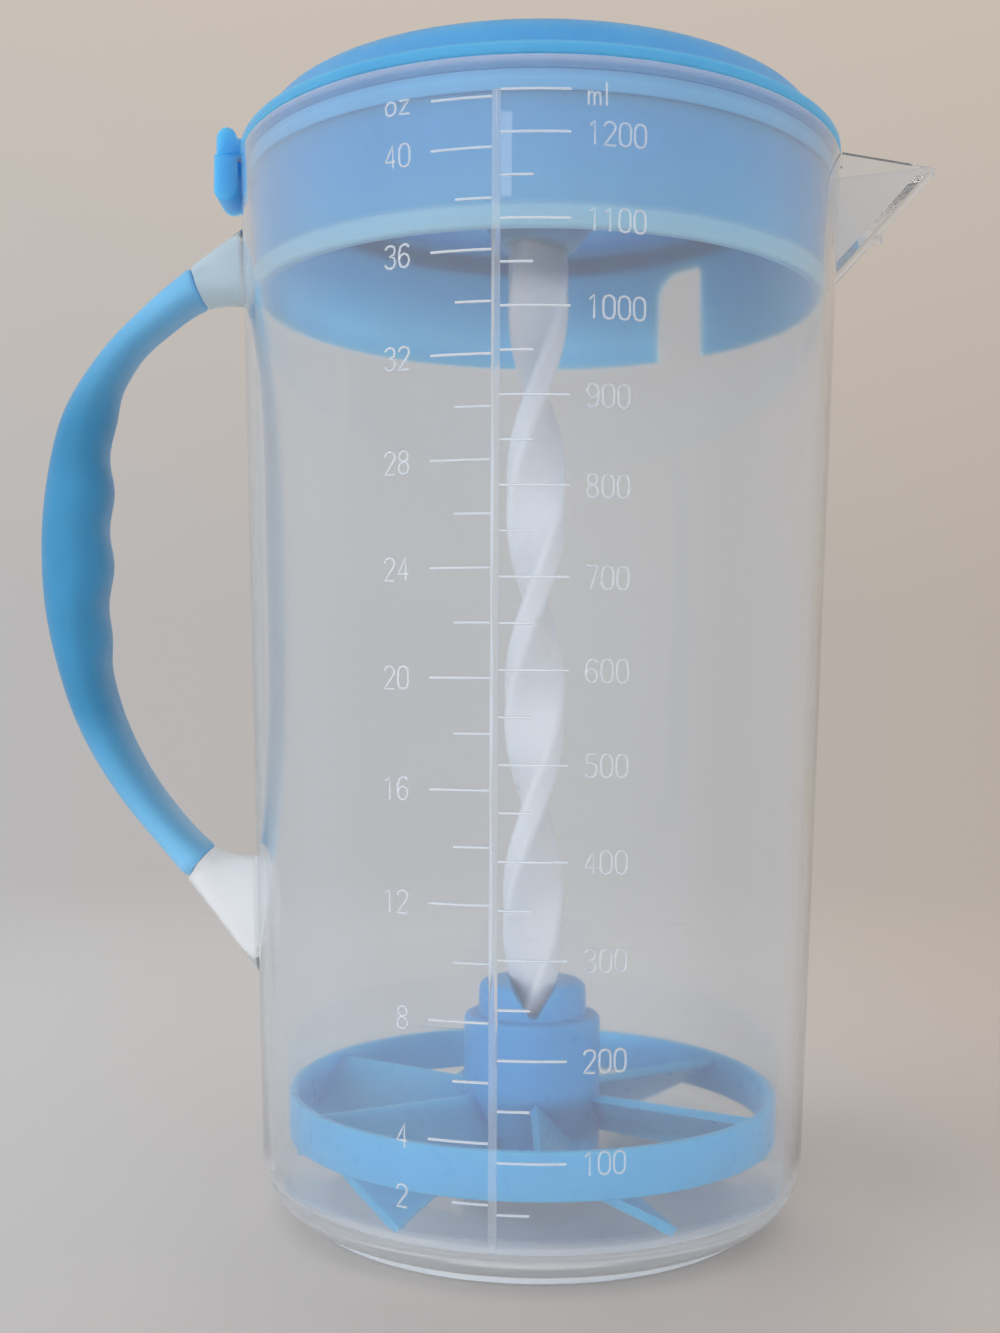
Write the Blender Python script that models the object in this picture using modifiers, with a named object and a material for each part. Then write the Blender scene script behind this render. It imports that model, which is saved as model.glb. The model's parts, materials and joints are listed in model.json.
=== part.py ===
"""Formula mixing pitcher: a clear graduated jug with a soft-grip handle and a V spout,
a turning lid with a pour notch, and a pump plunger whose twisted rod spins a vaned wheel.

Lengths are metres, +Z is up, and the origin is on the table, halfway between the spout's tip
and the handle's outermost point. The spout points along +X and the handle along -X.
Each piece is drawn round its own Z axis, which stands on the jug's axis.
"""

import math

import bmesh
import bpy
from mathutils import Matrix, Vector

# General clearances and mesh fineness
SEAT_GAP = 0.0003
CUT_OVERRUN = 0.002
MERGE_DISTANCE = 0.00001
JUG_STEPS = 72
LID_STEPS = 54
HUB_STEPS = 28
KNOB_STEPS = 28
SCREW_STEPS = 12
SMOOTH_ANGLE = math.radians(40)

# Jug: a drafted cylinder with a rounded bottom corner and a foot ring
RIM_HEIGHT = 0.1821
RIM_RADIUS = 0.0528
BASE_RADIUS = 0.0466
JUG_WALL = 0.0016
RIM_ROUND = 0.0004
FLOOR_HEIGHT = 0.0050
FLOOR_THICKNESS = 0.0020
FOOT_INSET = 0.0070
FOOT_RADIUS = BASE_RADIUS - FOOT_INSET
FOOT_WIDTH = 0.0021
CORNER_HEIGHT = 0.0110
FOOT_STEP = 0.0014
INNER_CORNER = 0.0040
CORNER_POINTS = 4

# Spout: a V beak on the rim at +X, open to the jug behind it
SPOUT_REACH = 0.0185
SPOUT_RISE = 0.0022
SPOUT_DROP = 0.0191
SPOUT_TIP = RIM_RADIUS + SPOUT_REACH
SPOUT_TOP = RIM_HEIGHT + SPOUT_RISE
SPOUT_BOTTOM = RIM_HEIGHT - SPOUT_DROP
SPOUT_HALF_WIDTH = 0.0077
SPOUT_WALL = 0.0010
SPOUT_ROOT_DEPTH = 0.0012
SPOUT_EDGE_ROUND = 0.0005

# Handle: one bowed bar moulded with the jug, as pairs of places on its outer and inner line.
# Each place is its reach out from the wall and its drop below the rim.
HANDLE_TOP_ROOT = ((-0.00108, 0.0094), (-0.00140, 0.0236))
HANDLE_TOP_NECK = ((0.00930, 0.0173), (0.00730, 0.0240))
HANDLE_SHOULDER = ((0.01850, 0.0250), (0.01450, 0.0287))
HANDLE_UPPER = ((0.02670, 0.0339), (0.02050, 0.0345))
HANDLE_CROWN = ((0.03320, 0.0451), (0.02520, 0.0446))
HANDLE_HIGH_HOLD = ((0.03642, 0.0596), (0.02600, 0.0591))
HANDLE_LOW_HOLD = ((0.03690, 0.0736), (0.02640, 0.0736))
HANDLE_LOWER = ((0.03515, 0.0857), (0.02680, 0.0851))
HANDLE_HEEL = ((0.03102, 0.0991), (0.02390, 0.0979))
HANDLE_SWEEP = ((0.02398, 0.1115), (0.01753, 0.1101))
HANDLE_BOTTOM_NECK = ((0.01225, 0.1262), (0.00800, 0.1205))
HANDLE_BOTTOM_ROOT = ((-0.00078, 0.1440), (-0.00105, 0.1219))
HANDLE_PLACES = (
    HANDLE_TOP_ROOT,
    HANDLE_TOP_NECK,
    HANDLE_SHOULDER,
    HANDLE_UPPER,
    HANDLE_CROWN,
    HANDLE_HIGH_HOLD,
    HANDLE_LOW_HOLD,
    HANDLE_LOWER,
    HANDLE_HEEL,
    HANDLE_SWEEP,
    HANDLE_BOTTOM_NECK,
    HANDLE_BOTTOM_ROOT,
)
HANDLE_WIDTH = 0.0170
HANDLE_WIDTH_SHARES = (0.80, 0.74, 0.66, 0.70, 0.84, 0.95, 1.0, 1.0, 0.96, 0.90, 0.82, 0.66)
HANDLE_ROUNDNESS = 2.5
HANDLE_RING_POINTS = 16
HANDLE_BLENDS_PER_SPAN = 2

# Grip: a soft sleeve round the middle of the handle, with finger scallops inside the bow
GRIP_FIRST_PLACE = 1
GRIP_LAST_PLACE = 10
SCALLOPS_FIRST_PLACE = 3
SCALLOPS_LAST_PLACE = 8
GRIP_WALL = 0.0016
SCALLOP_BLENDS_PER_SPAN = 5
SCALLOP_TOP_DROP = 0.0380
SCALLOP_BOTTOM_DROP = 0.0900
SCALLOP_COUNT = 4
SCALLOP_DEPTH = 0.0010

# Lid: flange on the rim, raised cap with a well, skirt in the jug, guide boss round the rod
FLANGE_OVERHANG = 0.0001
FLANGE_RADIUS = RIM_RADIUS + FLANGE_OVERHANG
FLANGE_THICKNESS = 0.0017
LID_WALL = 0.0018
CAP_FOOT_INSET = 0.0023
CAP_EDGE_INSET = 0.0055
CAP_FOOT_RADIUS = FLANGE_RADIUS - CAP_FOOT_INSET
CAP_EDGE_RADIUS = FLANGE_RADIUS - CAP_EDGE_INSET
CAP_EDGE_RISE = 0.0061
CAP_CROWN_RISE = 0.0088
CAP_EDGE_ROUND = 0.0014
WELL_RADIUS = 0.0218
WELL_RISE = 0.0014
WELL_CORNER = 0.0016
SKIRT_CLEARANCE = 0.0008
SKIRT_TAPER = 0.0010
SKIRT_WALL = 0.0016
SKIRT_DEPTH = 0.0246
BEAD_HEIGHT = 0.0032
BEAD_GAP = 0.0004
BOSS_RADIUS = 0.0095
BOSS_TIP_RADIUS = 0.0068
BOSS_TIP_DROP = 0.0133
BOSS_CONE_HEIGHT = 0.0034
SLOT_PLATE = 0.0030
ROD_BORE_RADIUS = 0.0064
PILOT_RADIUS = 0.0012

# Pour notch in the skirt, about a seventh of a turn from the spout when the lid is shut
NOTCH_AZIMUTH = math.radians(51.5)
NOTCH_WIDTH = 0.0110
NOTCH_HEIGHT = 0.0180
NOTCH_LARGE_ROUND = 0.0048
NOTCH_SMALL_ROUND = 0.0020
ROUND_POINTS = 4

# Thumb lug that turns the lid, over the handle
LUG_REACH = 0.0042
LUG_RISE = 0.0049
LUG_DROP = 0.0066
LUG_HALF_WIDTH = 0.0080
LUG_GAP = 0.0005
LUG_ROOT_DEPTH = 0.0042
LUG_ROUND = 0.0012

# Seal ring in the skirt's top groove
SEAL_DROP = 0.0016
SEAL_HEIGHT = 0.0034
SEAL_GROOVE_DEPTH = 0.0014
SEAL_LIP = 0.0005

# Twisted rod: a flat bar with rounded edges, a round journal on top
ROD_WIDTH = 0.0105
ROD_THICKNESS = 0.0045
ROD_CORNER = 0.0012
ROD_CORNER_STEPS = 1
ROD_FACE_STRIPS = 4
ROD_HALF_PITCH = 0.0367
ROD_FACING_HEIGHT = 0.0513
ROD_END_HEIGHT = 0.0140
ROD_TWIST_STEP = math.radians(12)
ROD_SLOT_CLEARANCE = 0.00035
JOURNAL_RADIUS = 0.0040
JOURNAL_HOLE_RADIUS = 0.0018

# Knob: a waisted pull knob that swivels on the rod's journal
KNOB_RADIUS = 0.0170
KNOB_WAIST_RADIUS = 0.0144
KNOB_BASE_RADIUS = 0.0154
KNOB_HEIGHT = 0.0152
KNOB_WAIST_SHARE = 0.36
KNOB_ROUND = 0.0018
KNOB_WALL = 0.0021
KNOB_HUB_RADIUS = 0.0074
KNOB_FLOOR_DEPTH = 0.0052
KNOB_FLOOR_THICKNESS = 0.0024
KNOB_POCKET_RADIUS = 0.0094
KNOB_CAP_RADIUS = 0.0112
KNOB_CAP_THICKNESS = 0.0018
KNOB_CAP_CROWN = 0.0003
KNOB_BORE_GAP = 0.0003
SCREW_HEAD_RADIUS = 0.0070
SCREW_HEAD_HEIGHT = 0.0018
SCREW_HEAD_DOME = 0.0005
SCREW_LENGTH = 0.0085

# Mixer wheel: hub with a snap collar, ring, and pitched vanes that end in feet
HUB_RADIUS = 0.0120
HUB_BOTTOM = 0.0100
HUB_TOP = 0.0330
HUB_EDGE_ROUND = 0.0012
HUB_WALL = 0.0018
SOCKET_WALL_RADIUS = 0.0082
HUB_CORE_DEPTH = 0.0190
COLLAR_RADIUS = 0.0095
COLLAR_HEIGHT = 0.0058
COLLAR_ROUND = 0.0020
COLLAR_NOTCH_HALF_WIDTH = 0.0046
COLLAR_NOTCH_ROOT = 0.0006
RING_INSET = 0.0040
RING_RADIUS = BASE_RADIUS - RING_INSET
RING_WALL = 0.0014
RING_BOTTOM = 0.0135
RING_TOP = 0.0210
VANE_COUNT = 6
VANE_FIRST_AZIMUTH = math.radians(-30)
VANE_SPREAD = math.radians(30)
VANE_THICKNESS = 0.0014
VANE_TOP = 0.0195
VANE_HUB_DROP = 0.0065
VANE_RING_DROP = 0.0122
VANE_RADIAL_STEPS = 4
VANE_CHORD_STEPS = 4
VANE_ROOT_DEPTH = 0.0009

# Moulded colours
CLEAR_COLOUR = (0.86, 0.90, 0.93, 1.0)
LID_COLOUR = (0.05, 0.29, 0.74, 1.0)
GRIP_COLOUR = (0.04, 0.24, 0.49, 1.0)
WHEEL_COLOUR = (0.13, 0.39, 0.74, 1.0)
ROD_COLOUR = (0.86, 0.86, 0.88, 1.0)
SEAL_COLOUR = (0.42, 0.64, 0.86, 1.0)
STEEL_COLOUR = (0.56, 0.57, 0.58, 1.0)

PARTS_COLLECTION = "formula_mixing_pitcher"
CUTTERS_COLLECTION = "cutters"


def clear_scene():
    """Remove the objects that the scene opens with."""
    for item in list(bpy.context.scene.objects):
        bpy.data.objects.remove(item, do_unlink=True)


def make_collection(name):
    """Add an empty collection to the scene."""
    collection = bpy.data.collections.new(name)
    bpy.context.scene.collection.children.link(collection)
    return collection


def moulded(name, colour, roughness, transmission=0.0, metallic=0.0):
    """A plain Principled material for one moulded or turned piece."""
    material = bpy.data.materials.new(name)
    material.use_nodes = True
    shader = material.node_tree.nodes["Principled BSDF"]
    shader.inputs["Base Color"].default_value = colour
    shader.inputs["Roughness"].default_value = roughness
    shader.inputs["Metallic"].default_value = metallic
    shader.inputs["Transmission Weight"].default_value = transmission
    material.diffuse_color = colour
    return material


def add_object(name, mesh, collection, material=None):
    """Link a mesh to the scene as a named object that stands on the jug's axis."""
    item = bpy.data.objects.new(name, mesh)
    item.location.x = jug_axis_place()
    collection.objects.link(item)
    if material is not None:
        mesh.materials.append(material)
    return item


def revolve(name, profile, steps, collection, material=None, closed=True):
    """Turn a profile of (radius, height) points round the Z axis.

    The points run down the outer side. A closed profile is a loop clear of the axis, and
    an open one starts and ends on the axis.
    """
    mesh = bpy.data.meshes.new(name)
    points = [(radius, 0, height) for radius, height in profile]
    edges = [(i, i + 1) for i in range(len(points) - 1)]
    if closed:
        edges.append((len(points) - 1, 0))
    mesh.from_pydata(points, edges, [])
    item = add_object(name, mesh, collection, material)
    screw = item.modifiers.new("turn", "SCREW")
    screw.axis = "Z"
    screw.steps = steps
    screw.render_steps = steps
    screw.use_merge_vertices = True
    screw.merge_threshold = MERGE_DISTANCE
    screw.use_smooth_shade = True
    return item


def loft(name, rings, collection, material=None, hollow=False):
    """Skin a row of rings that have equally many points.

    A hollow loft joins its last ring to its first, so a row that runs out along the outer
    side and back along the inner side makes a sleeve. Any other loft is capped.
    """
    shape = bmesh.new()
    rows = [[shape.verts.new(point) for point in ring] for ring in rings]
    count = len(rows[0])
    pairs = list(zip(rows, rows[1:]))
    if hollow:
        pairs.append((rows[-1], rows[0]))
    for near, far in pairs:
        for i in range(count):
            j = (i + 1) % count
            shape.faces.new((near[i], near[j], far[j], far[i]))
    if not hollow:
        shape.faces.new(list(reversed(rows[0])))
        shape.faces.new(rows[-1])
    bmesh.ops.recalc_face_normals(shape, faces=shape.faces)
    mesh = bpy.data.meshes.new(name)
    shape.to_mesh(mesh)
    shape.free()
    item = add_object(name, mesh, collection, material)
    mesh.shade_smooth()
    mesh.set_sharp_from_angle(angle=SMOOTH_ANGLE)
    return item


def plate(name, outline, half_thickness, placement, collection):
    """Extrude a flat outline both ways, and place it by a matrix."""
    curve = bpy.data.curves.new(name, "CURVE")
    curve.dimensions = "2D"
    curve.fill_mode = "BOTH"
    curve.extrude = half_thickness
    spline = curve.splines.new("POLY")
    spline.points.add(len(outline) - 1)
    for point, (across, up) in zip(spline.points, outline):
        point.co = (across, up, 0, 1)
    spline.use_cyclic_u = True
    guide = add_curve_object(name, curve, collection)
    mesh = bpy.data.meshes.new_from_object(guide.evaluated_get(bpy.context.evaluated_depsgraph_get()))
    bpy.data.objects.remove(guide, do_unlink=True)
    weld(mesh)
    mesh.transform(placement)
    return add_object(name, mesh, collection)


def add_curve_object(name, curve, collection):
    """Link a curve to the scene and bring the scene up to date."""
    item = bpy.data.objects.new(name + "_outline", curve)
    collection.objects.link(item)
    bpy.context.view_layer.update()
    return item


def weld(mesh):
    """Close a mesh along its coincident points."""
    shape = bmesh.new()
    shape.from_mesh(mesh)
    bmesh.ops.remove_doubles(shape, verts=shape.verts, dist=MERGE_DISTANCE)
    bmesh.ops.recalc_face_normals(shape, faces=shape.faces)
    shape.to_mesh(mesh)
    shape.free()


def combine(target, other, operation):
    """Join, cut or trim a piece by another, which then stays as a hidden guide."""
    step = target.modifiers.new(operation.lower() + "_" + other.name, "BOOLEAN")
    step.operation = operation
    step.object = other
    other.hide_render = True
    other.display_type = "WIRE"


def bevel(item, width, segments):
    """Round the sharp edges of a piece."""
    step = item.modifiers.new("round", "BEVEL")
    step.width = width
    step.segments = segments
    step.limit_method = "ANGLE"
    step.angle_limit = SMOOTH_ANGLE


def arc(centre, reach, start, end, count):
    """Points on an ellipse arc, from the start angle to the end angle."""
    points = []
    for i in range(count + 1):
        angle = start + (end - start) * i / count
        points.append((centre[0] + reach[0] * math.cos(angle), centre[1] + reach[1] * math.sin(angle)))
    return points


def jug_radius(height):
    """Outer radius of the drafted wall at a height."""
    return BASE_RADIUS + (RIM_RADIUS - BASE_RADIUS) * height / RIM_HEIGHT


def jug_axis_place():
    """Place along X of the jug's axis, which centres the spout and handle on the origin."""
    handle_reach = max(-point.x for span in handle_spans() for point in handle_ring(span, 0))
    return (handle_reach - SPOUT_TIP) / 2


def jug_inner_radius(height):
    """Inner radius of the drafted wall at a height."""
    return jug_radius(height) - JUG_WALL


def jug_outside():
    """Profile of the solid jug, from the top centre to the centre of its underside."""
    corner_top = jug_radius(CORNER_HEIGHT)
    corner = arc(
        (FOOT_RADIUS, CORNER_HEIGHT),
        (corner_top - FOOT_RADIUS, CORNER_HEIGHT - FOOT_STEP),
        0,
        -math.pi / 2,
        CORNER_POINTS,
    )
    underside = FLOOR_HEIGHT - FLOOR_THICKNESS
    foot_inside = FOOT_RADIUS - FOOT_WIDTH
    return (
        [(0, RIM_HEIGHT), (RIM_RADIUS - RIM_ROUND, RIM_HEIGHT), (RIM_RADIUS, RIM_HEIGHT - RIM_ROUND)]
        + corner
        + [(FOOT_RADIUS, 0), (foot_inside, 0), (foot_inside, underside), (0, underside)]
    )


def jug_inside():
    """Profile of the space inside the jug, carried past the rim."""
    mouth = RIM_HEIGHT + CUT_OVERRUN
    corner_height = FLOOR_HEIGHT + INNER_CORNER
    wall = jug_inner_radius(corner_height)
    corner = arc((wall - INNER_CORNER, corner_height), (INNER_CORNER, INNER_CORNER), 0, -math.pi / 2, CORNER_POINTS)
    return [(0, mouth), (jug_inner_radius(mouth), mouth)] + corner + [(0, FLOOR_HEIGHT)]


def beak(name, collection, inset, top, root):
    """A V-shaped beak solid whose faces lie a wall's inset inside the spout's outline."""
    outer_root = jug_radius(SPOUT_BOTTOM)
    reach = SPOUT_TIP - outer_root
    drop = SPOUT_TOP - SPOUT_BOTTOM
    half_angle = math.atan2(SPOUT_HALF_WIDTH, reach)
    tip_shift = inset / math.sin(half_angle)
    slope = reach / drop
    side = SPOUT_HALF_WIDTH / reach
    rings = []
    for height in (SPOUT_BOTTOM + tip_shift / slope + SPOUT_EDGE_ROUND, top):
        tip = outer_root + (height - SPOUT_BOTTOM) * slope - tip_shift
        blunt = SPOUT_EDGE_ROUND
        across = (tip - root) * side
        rings.append(
            [
                Vector((root, -across, height)),
                Vector((tip - blunt, -blunt * side, height)),
                Vector((tip, 0, height)),
                Vector((tip - blunt, blunt * side, height)),
                Vector((root, across, height)),
            ]
        )
    return loft(name, rings, collection)


def spline_place(places, span):
    """Point on the smooth curve through the places, at a span number with its fraction."""
    last = len(places) - 1
    first = min(int(span), last - 1)
    part = span - first
    before = places[max(first - 1, 0)]
    start = places[first]
    end = places[first + 1]
    after = places[min(first + 2, last)]
    point = []
    for a, b, c, d in zip(before, start, end, after):
        point.append(
            (2 * b + (c - a) * part + (2 * a - 5 * b + 4 * c - d) * part**2 + (3 * b - a - 3 * c + d) * part**3) / 2
        )
    return point


def beside_wall(place):
    """Point beside the jug's wall, at -X, for a reach out from it and a drop below the rim."""
    reach, drop = place
    height = RIM_HEIGHT - drop
    return Vector((-jug_radius(height) - reach, 0, height))


def handle_station(span):
    """Middle point, inward direction, depth and width of the handle at a span number."""
    outer = beside_wall(spline_place([outside for outside, inside in HANDLE_PLACES], span))
    inner = beside_wall(spline_place([inside for outside, inside in HANDLE_PLACES], span))
    across = inner - outer
    width = HANDLE_WIDTH * spline_place([(share,) for share in HANDLE_WIDTH_SHARES], span)[0]
    return (outer + inner) / 2, across.normalized(), across.length, width


def scallop(drop):
    """How far the grip swells inward at a drop below the rim, between the fingers."""
    if not SCALLOP_TOP_DROP < drop < SCALLOP_BOTTOM_DROP:
        return 0
    turns = (drop - SCALLOP_TOP_DROP) / (SCALLOP_BOTTOM_DROP - SCALLOP_TOP_DROP) * SCALLOP_COUNT
    return SCALLOP_DEPTH * (1 - math.cos(2 * math.pi * turns)) / 2


def handle_ring(span, inset, swell=False):
    """One section of the handle, drawn in on all sides by an inset."""
    middle, inward, depth, width = handle_station(span)
    ring = []
    for i in range(HANDLE_RING_POINTS):
        angle = 2 * math.pi * i / HANDLE_RING_POINTS
        towards = math.cos(angle)
        sideways = math.sin(angle)
        reach = (abs(towards) ** HANDLE_ROUNDNESS + abs(sideways) ** HANDLE_ROUNDNESS) ** (-1 / HANDLE_ROUNDNESS)
        deep = (depth / 2 - inset) * reach * towards
        if swell and towards > 0:
            deep += scallop(RIM_HEIGHT - middle.z) * towards**2
        ring.append(middle + inward * deep + Vector((0, (width / 2 - inset) * reach * sideways, 0)))
    return ring


def spans(first, last, per_span):
    """Evenly spaced span numbers from the first to the last."""
    count = round((last - first) * per_span)
    return [first + (last - first) * i / count for i in range(count + 1)]


def handle_spans():
    """Span numbers along the whole handle."""
    return spans(0, len(HANDLE_PLACES) - 1, HANDLE_BLENDS_PER_SPAN)


def grip_spans(per_span):
    """Span numbers along the grip, drawn in at both ends to leave a seat gap."""
    places = spans(GRIP_FIRST_PLACE, GRIP_LAST_PLACE, per_span)
    places[0] += SEAT_GAP / span_length(GRIP_FIRST_PLACE)
    places[-1] -= SEAT_GAP / span_length(GRIP_LAST_PLACE - 1)
    return places


def span_length(place):
    """Length along the handle's outer line from a place to the next."""
    return math.dist(beside_wall(HANDLE_PLACES[place][0]), beside_wall(HANDLE_PLACES[place + 1][0]))


def handle_bar(collection):
    """The bar that is moulded with the jug, thinner where the grip lies round it."""
    last = len(HANDLE_PLACES) - 1
    under_grip = GRIP_WALL + SEAT_GAP
    top = [handle_ring(s, 0) for s in spans(0, GRIP_FIRST_PLACE, HANDLE_BLENDS_PER_SPAN)]
    core = [handle_ring(s, under_grip) for s in spans(GRIP_FIRST_PLACE, GRIP_LAST_PLACE, HANDLE_BLENDS_PER_SPAN)]
    bottom = [handle_ring(s, 0) for s in spans(GRIP_LAST_PLACE, last, HANDLE_BLENDS_PER_SPAN)]
    return loft("handle_bar", top + core + bottom, collection)


def build_jug(parts, cutters, material):
    """Jug body with its foot ring, handle bar, V spout and the opening behind the spout."""
    jug = revolve("jug_body", jug_outside(), JUG_STEPS, parts, material, closed=False)
    rim_root = jug_radius(SPOUT_BOTTOM) - SPOUT_ROOT_DEPTH
    combine(jug, handle_bar(cutters), "UNION")
    combine(jug, beak("spout_outside", cutters, 0, SPOUT_TOP, rim_root), "UNION")
    inside = revolve("jug_inside", jug_inside(), JUG_STEPS, cutters, closed=False)
    combine(jug, inside, "DIFFERENCE")
    hollow_root = jug_inner_radius(RIM_HEIGHT) - JUG_WALL - CUT_OVERRUN
    combine(jug, beak("spout_inside", cutters, SPOUT_WALL, SPOUT_TOP + CUT_OVERRUN, hollow_root), "DIFFERENCE")
    swing = FLANGE_RADIUS + SEAT_GAP
    above = SPOUT_TOP + CUT_OVERRUN
    clearance = [(0, above), (swing, above), (swing, RIM_HEIGHT), (0, RIM_HEIGHT)]
    combine(jug, revolve("flange_swing", clearance, JUG_STEPS, cutters, closed=False), "DIFFERENCE")
    return jug


def build_grip(parts, material):
    """Soft sleeve round the handle bar, with its ends seated on the bar's shoulders."""
    plain = grip_spans(HANDLE_BLENDS_PER_SPAN)
    scallops = spans(SCALLOPS_FIRST_PLACE, SCALLOPS_LAST_PLACE, SCALLOP_BLENDS_PER_SPAN)
    outer_places = sorted(set(plain) | set(scallops))
    outer = [handle_ring(s, 0, swell=True) for s in outer_places]
    inner = [handle_ring(s, GRIP_WALL) for s in reversed(plain)]
    return loft("handle_grip", outer + inner, parts, material, hollow=True)


def lid_heights():
    """Heights that the lid's pieces share: flange underside and top, cap edge, crown and well."""
    seat = RIM_HEIGHT + SEAT_GAP
    top = seat + FLANGE_THICKNESS
    return seat, top, top + CAP_EDGE_RISE, top + CAP_CROWN_RISE, top + WELL_RISE


def skirt_radius(height):
    """Outer radius of the skirt, which tapers towards its lower edge."""
    seat = RIM_HEIGHT + SEAT_GAP
    top = jug_inner_radius(RIM_HEIGHT) - SKIRT_CLEARANCE
    return top - SKIRT_TAPER * (seat - height) / SKIRT_DEPTH


def boss_tip_height():
    """Height of the guide boss's lower end."""
    return RIM_HEIGHT - BOSS_TIP_DROP


def lid_profile():
    """Closed profile of the lid, from the well round the outside and back up inside."""
    seat, top, edge, crown, well = lid_heights()
    skirt_bottom = seat - SKIRT_DEPTH
    bead_top = skirt_bottom + BEAD_HEIGHT
    bead = jug_inner_radius(skirt_bottom) - BEAD_GAP
    groove_top = seat - SEAL_DROP
    groove_bottom = groove_top - SEAL_HEIGHT
    groove = skirt_radius(groove_top) - SEAL_GROOVE_DEPTH
    inner_top = skirt_radius(seat) - SKIRT_WALL - SEAL_GROOVE_DEPTH
    inner_bottom = skirt_radius(skirt_bottom) - SKIRT_WALL
    tip = boss_tip_height()
    upper = [
        (ROD_BORE_RADIUS, well),
        (WELL_RADIUS - WELL_CORNER, well),
        (WELL_RADIUS, well + WELL_CORNER),
        (WELL_RADIUS, crown - WELL_CORNER),
        (WELL_RADIUS + WELL_CORNER, crown),
        (CAP_EDGE_RADIUS - CAP_EDGE_ROUND, edge + CAP_EDGE_ROUND / 2),
        (CAP_EDGE_RADIUS, edge - CAP_EDGE_ROUND / 2),
        (CAP_FOOT_RADIUS, top),
    ]
    flange = [
        (FLANGE_RADIUS - RIM_ROUND, top),
        (FLANGE_RADIUS, top - RIM_ROUND),
        (FLANGE_RADIUS, seat),
    ]
    skirt = [
        (skirt_radius(seat), seat),
        (skirt_radius(groove_top), groove_top),
        (groove, groove_top),
        (groove, groove_bottom),
        (skirt_radius(groove_bottom), groove_bottom),
        (skirt_radius(bead_top), bead_top + BEAD_GAP),
        (bead, bead_top - BEAD_GAP),
        (bead, skirt_bottom + BEAD_GAP),
        (bead - BEAD_GAP, skirt_bottom),
        (inner_bottom, skirt_bottom),
        (inner_top, groove_bottom),
        (inner_top, seat),
    ]
    under = [
        (CAP_EDGE_RADIUS - LID_WALL, edge - LID_WALL),
        (WELL_RADIUS + LID_WALL, crown - LID_WALL),
        (WELL_RADIUS + LID_WALL, well - LID_WALL),
        (BOSS_RADIUS, well - LID_WALL),
        (BOSS_RADIUS, tip + BOSS_CONE_HEIGHT),
        (BOSS_TIP_RADIUS, tip),
        (PILOT_RADIUS, tip),
        (PILOT_RADIUS, tip + SLOT_PLATE),
        (ROD_BORE_RADIUS, tip + SLOT_PLATE + BOSS_CONE_HEIGHT),
    ]
    return upper + flange + skirt + under


def rounded_notch(height_below):
    """Outline of the pour notch: one large and one small upper corner."""
    half = NOTCH_WIDTH / 2
    top = NOTCH_HEIGHT
    large = NOTCH_LARGE_ROUND
    small = NOTCH_SMALL_ROUND
    large_arc = arc((half - large, top - large), (large, large), 0, math.pi / 2, ROUND_POINTS)
    small_arc = arc((small - half, top - small), (small, small), math.pi / 2, math.pi, ROUND_POINTS)
    return [(half, -height_below)] + large_arc + small_arc + [(-half, -height_below)]


def build_notch_cutter(cutters):
    """Prism that cuts the pour notch, pointing outward at the notch's azimuth."""
    seat = lid_heights()[0]
    skirt_bottom = seat - SKIRT_DEPTH
    radius = skirt_radius(skirt_bottom) - SKIRT_WALL / 2
    outward = Vector((math.cos(NOTCH_AZIMUTH), math.sin(NOTCH_AZIMUTH), 0))
    around = Vector((-outward.y, outward.x, 0))
    placement = Matrix.Translation(outward * radius + Vector((0, 0, skirt_bottom)))
    axes = Matrix((around, Vector((0, 0, 1)), around.cross(Vector((0, 0, 1))))).transposed()
    half = SKIRT_WALL + CUT_OVERRUN
    return plate("notch_cutter", rounded_notch(CUT_OVERRUN), half, placement @ axes.to_4x4(), cutters)


def build_lug(cutters):
    """Thumb lug outside the rim over the handle, rooted in the flange."""
    seat, top, _, _, _ = lid_heights()
    inner = -(RIM_RADIUS + LUG_GAP)
    outer = -(FLANGE_RADIUS + LUG_REACH)
    root = -(FLANGE_RADIUS - LUG_ROOT_DEPTH)
    crest = top + LUG_RISE
    foot = seat - LUG_DROP
    waist = seat + FLANGE_THICKNESS / 2
    outline = [
        (root, waist),
        (inner, waist),
        (inner, foot + LUG_ROUND),
        (inner - LUG_ROUND, foot),
        (outer + 2 * LUG_ROUND, foot),
        (outer + LUG_ROUND / 2, foot + LUG_ROUND),
        (outer, top),
        (outer, crest - LUG_ROUND),
        (outer + LUG_ROUND, crest),
        (inner - LUG_ROUND, crest),
        (root, crest - 2 * LUG_ROUND),
    ]
    upright = Matrix.Rotation(math.pi / 2, 4, "X")
    lug = plate("lug", outline, LUG_HALF_WIDTH, upright, cutters)
    bevel(lug, LUG_ROUND / 2, 1)
    return lug


def twist_angle(height):
    """Direction of the flat bar's width at a height, counter-clockwise as it rises."""
    return math.pi * (height - ROD_FACING_HEIGHT) / ROD_HALF_PITCH


def bar_section(half_width, half_thickness, corner):
    """Rounded-rectangle section of the flat bar, with its broad faces split into strips."""
    points = []
    for quarter, (sign_x, sign_y) in enumerate(((1, 1), (-1, 1), (-1, -1), (1, -1))):
        start = quarter * math.pi / 2
        centre = (sign_x * (half_width - corner), sign_y * (half_thickness - corner))
        points += arc(centre, (corner, corner), start, start + math.pi / 2, ROD_CORNER_STEPS)
        if quarter % 2 == 0:
            for strip in range(1, ROD_FACE_STRIPS):
                points.append((centre[0] * (1 - 2 * strip / ROD_FACE_STRIPS), sign_y * half_thickness))
    return points


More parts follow.
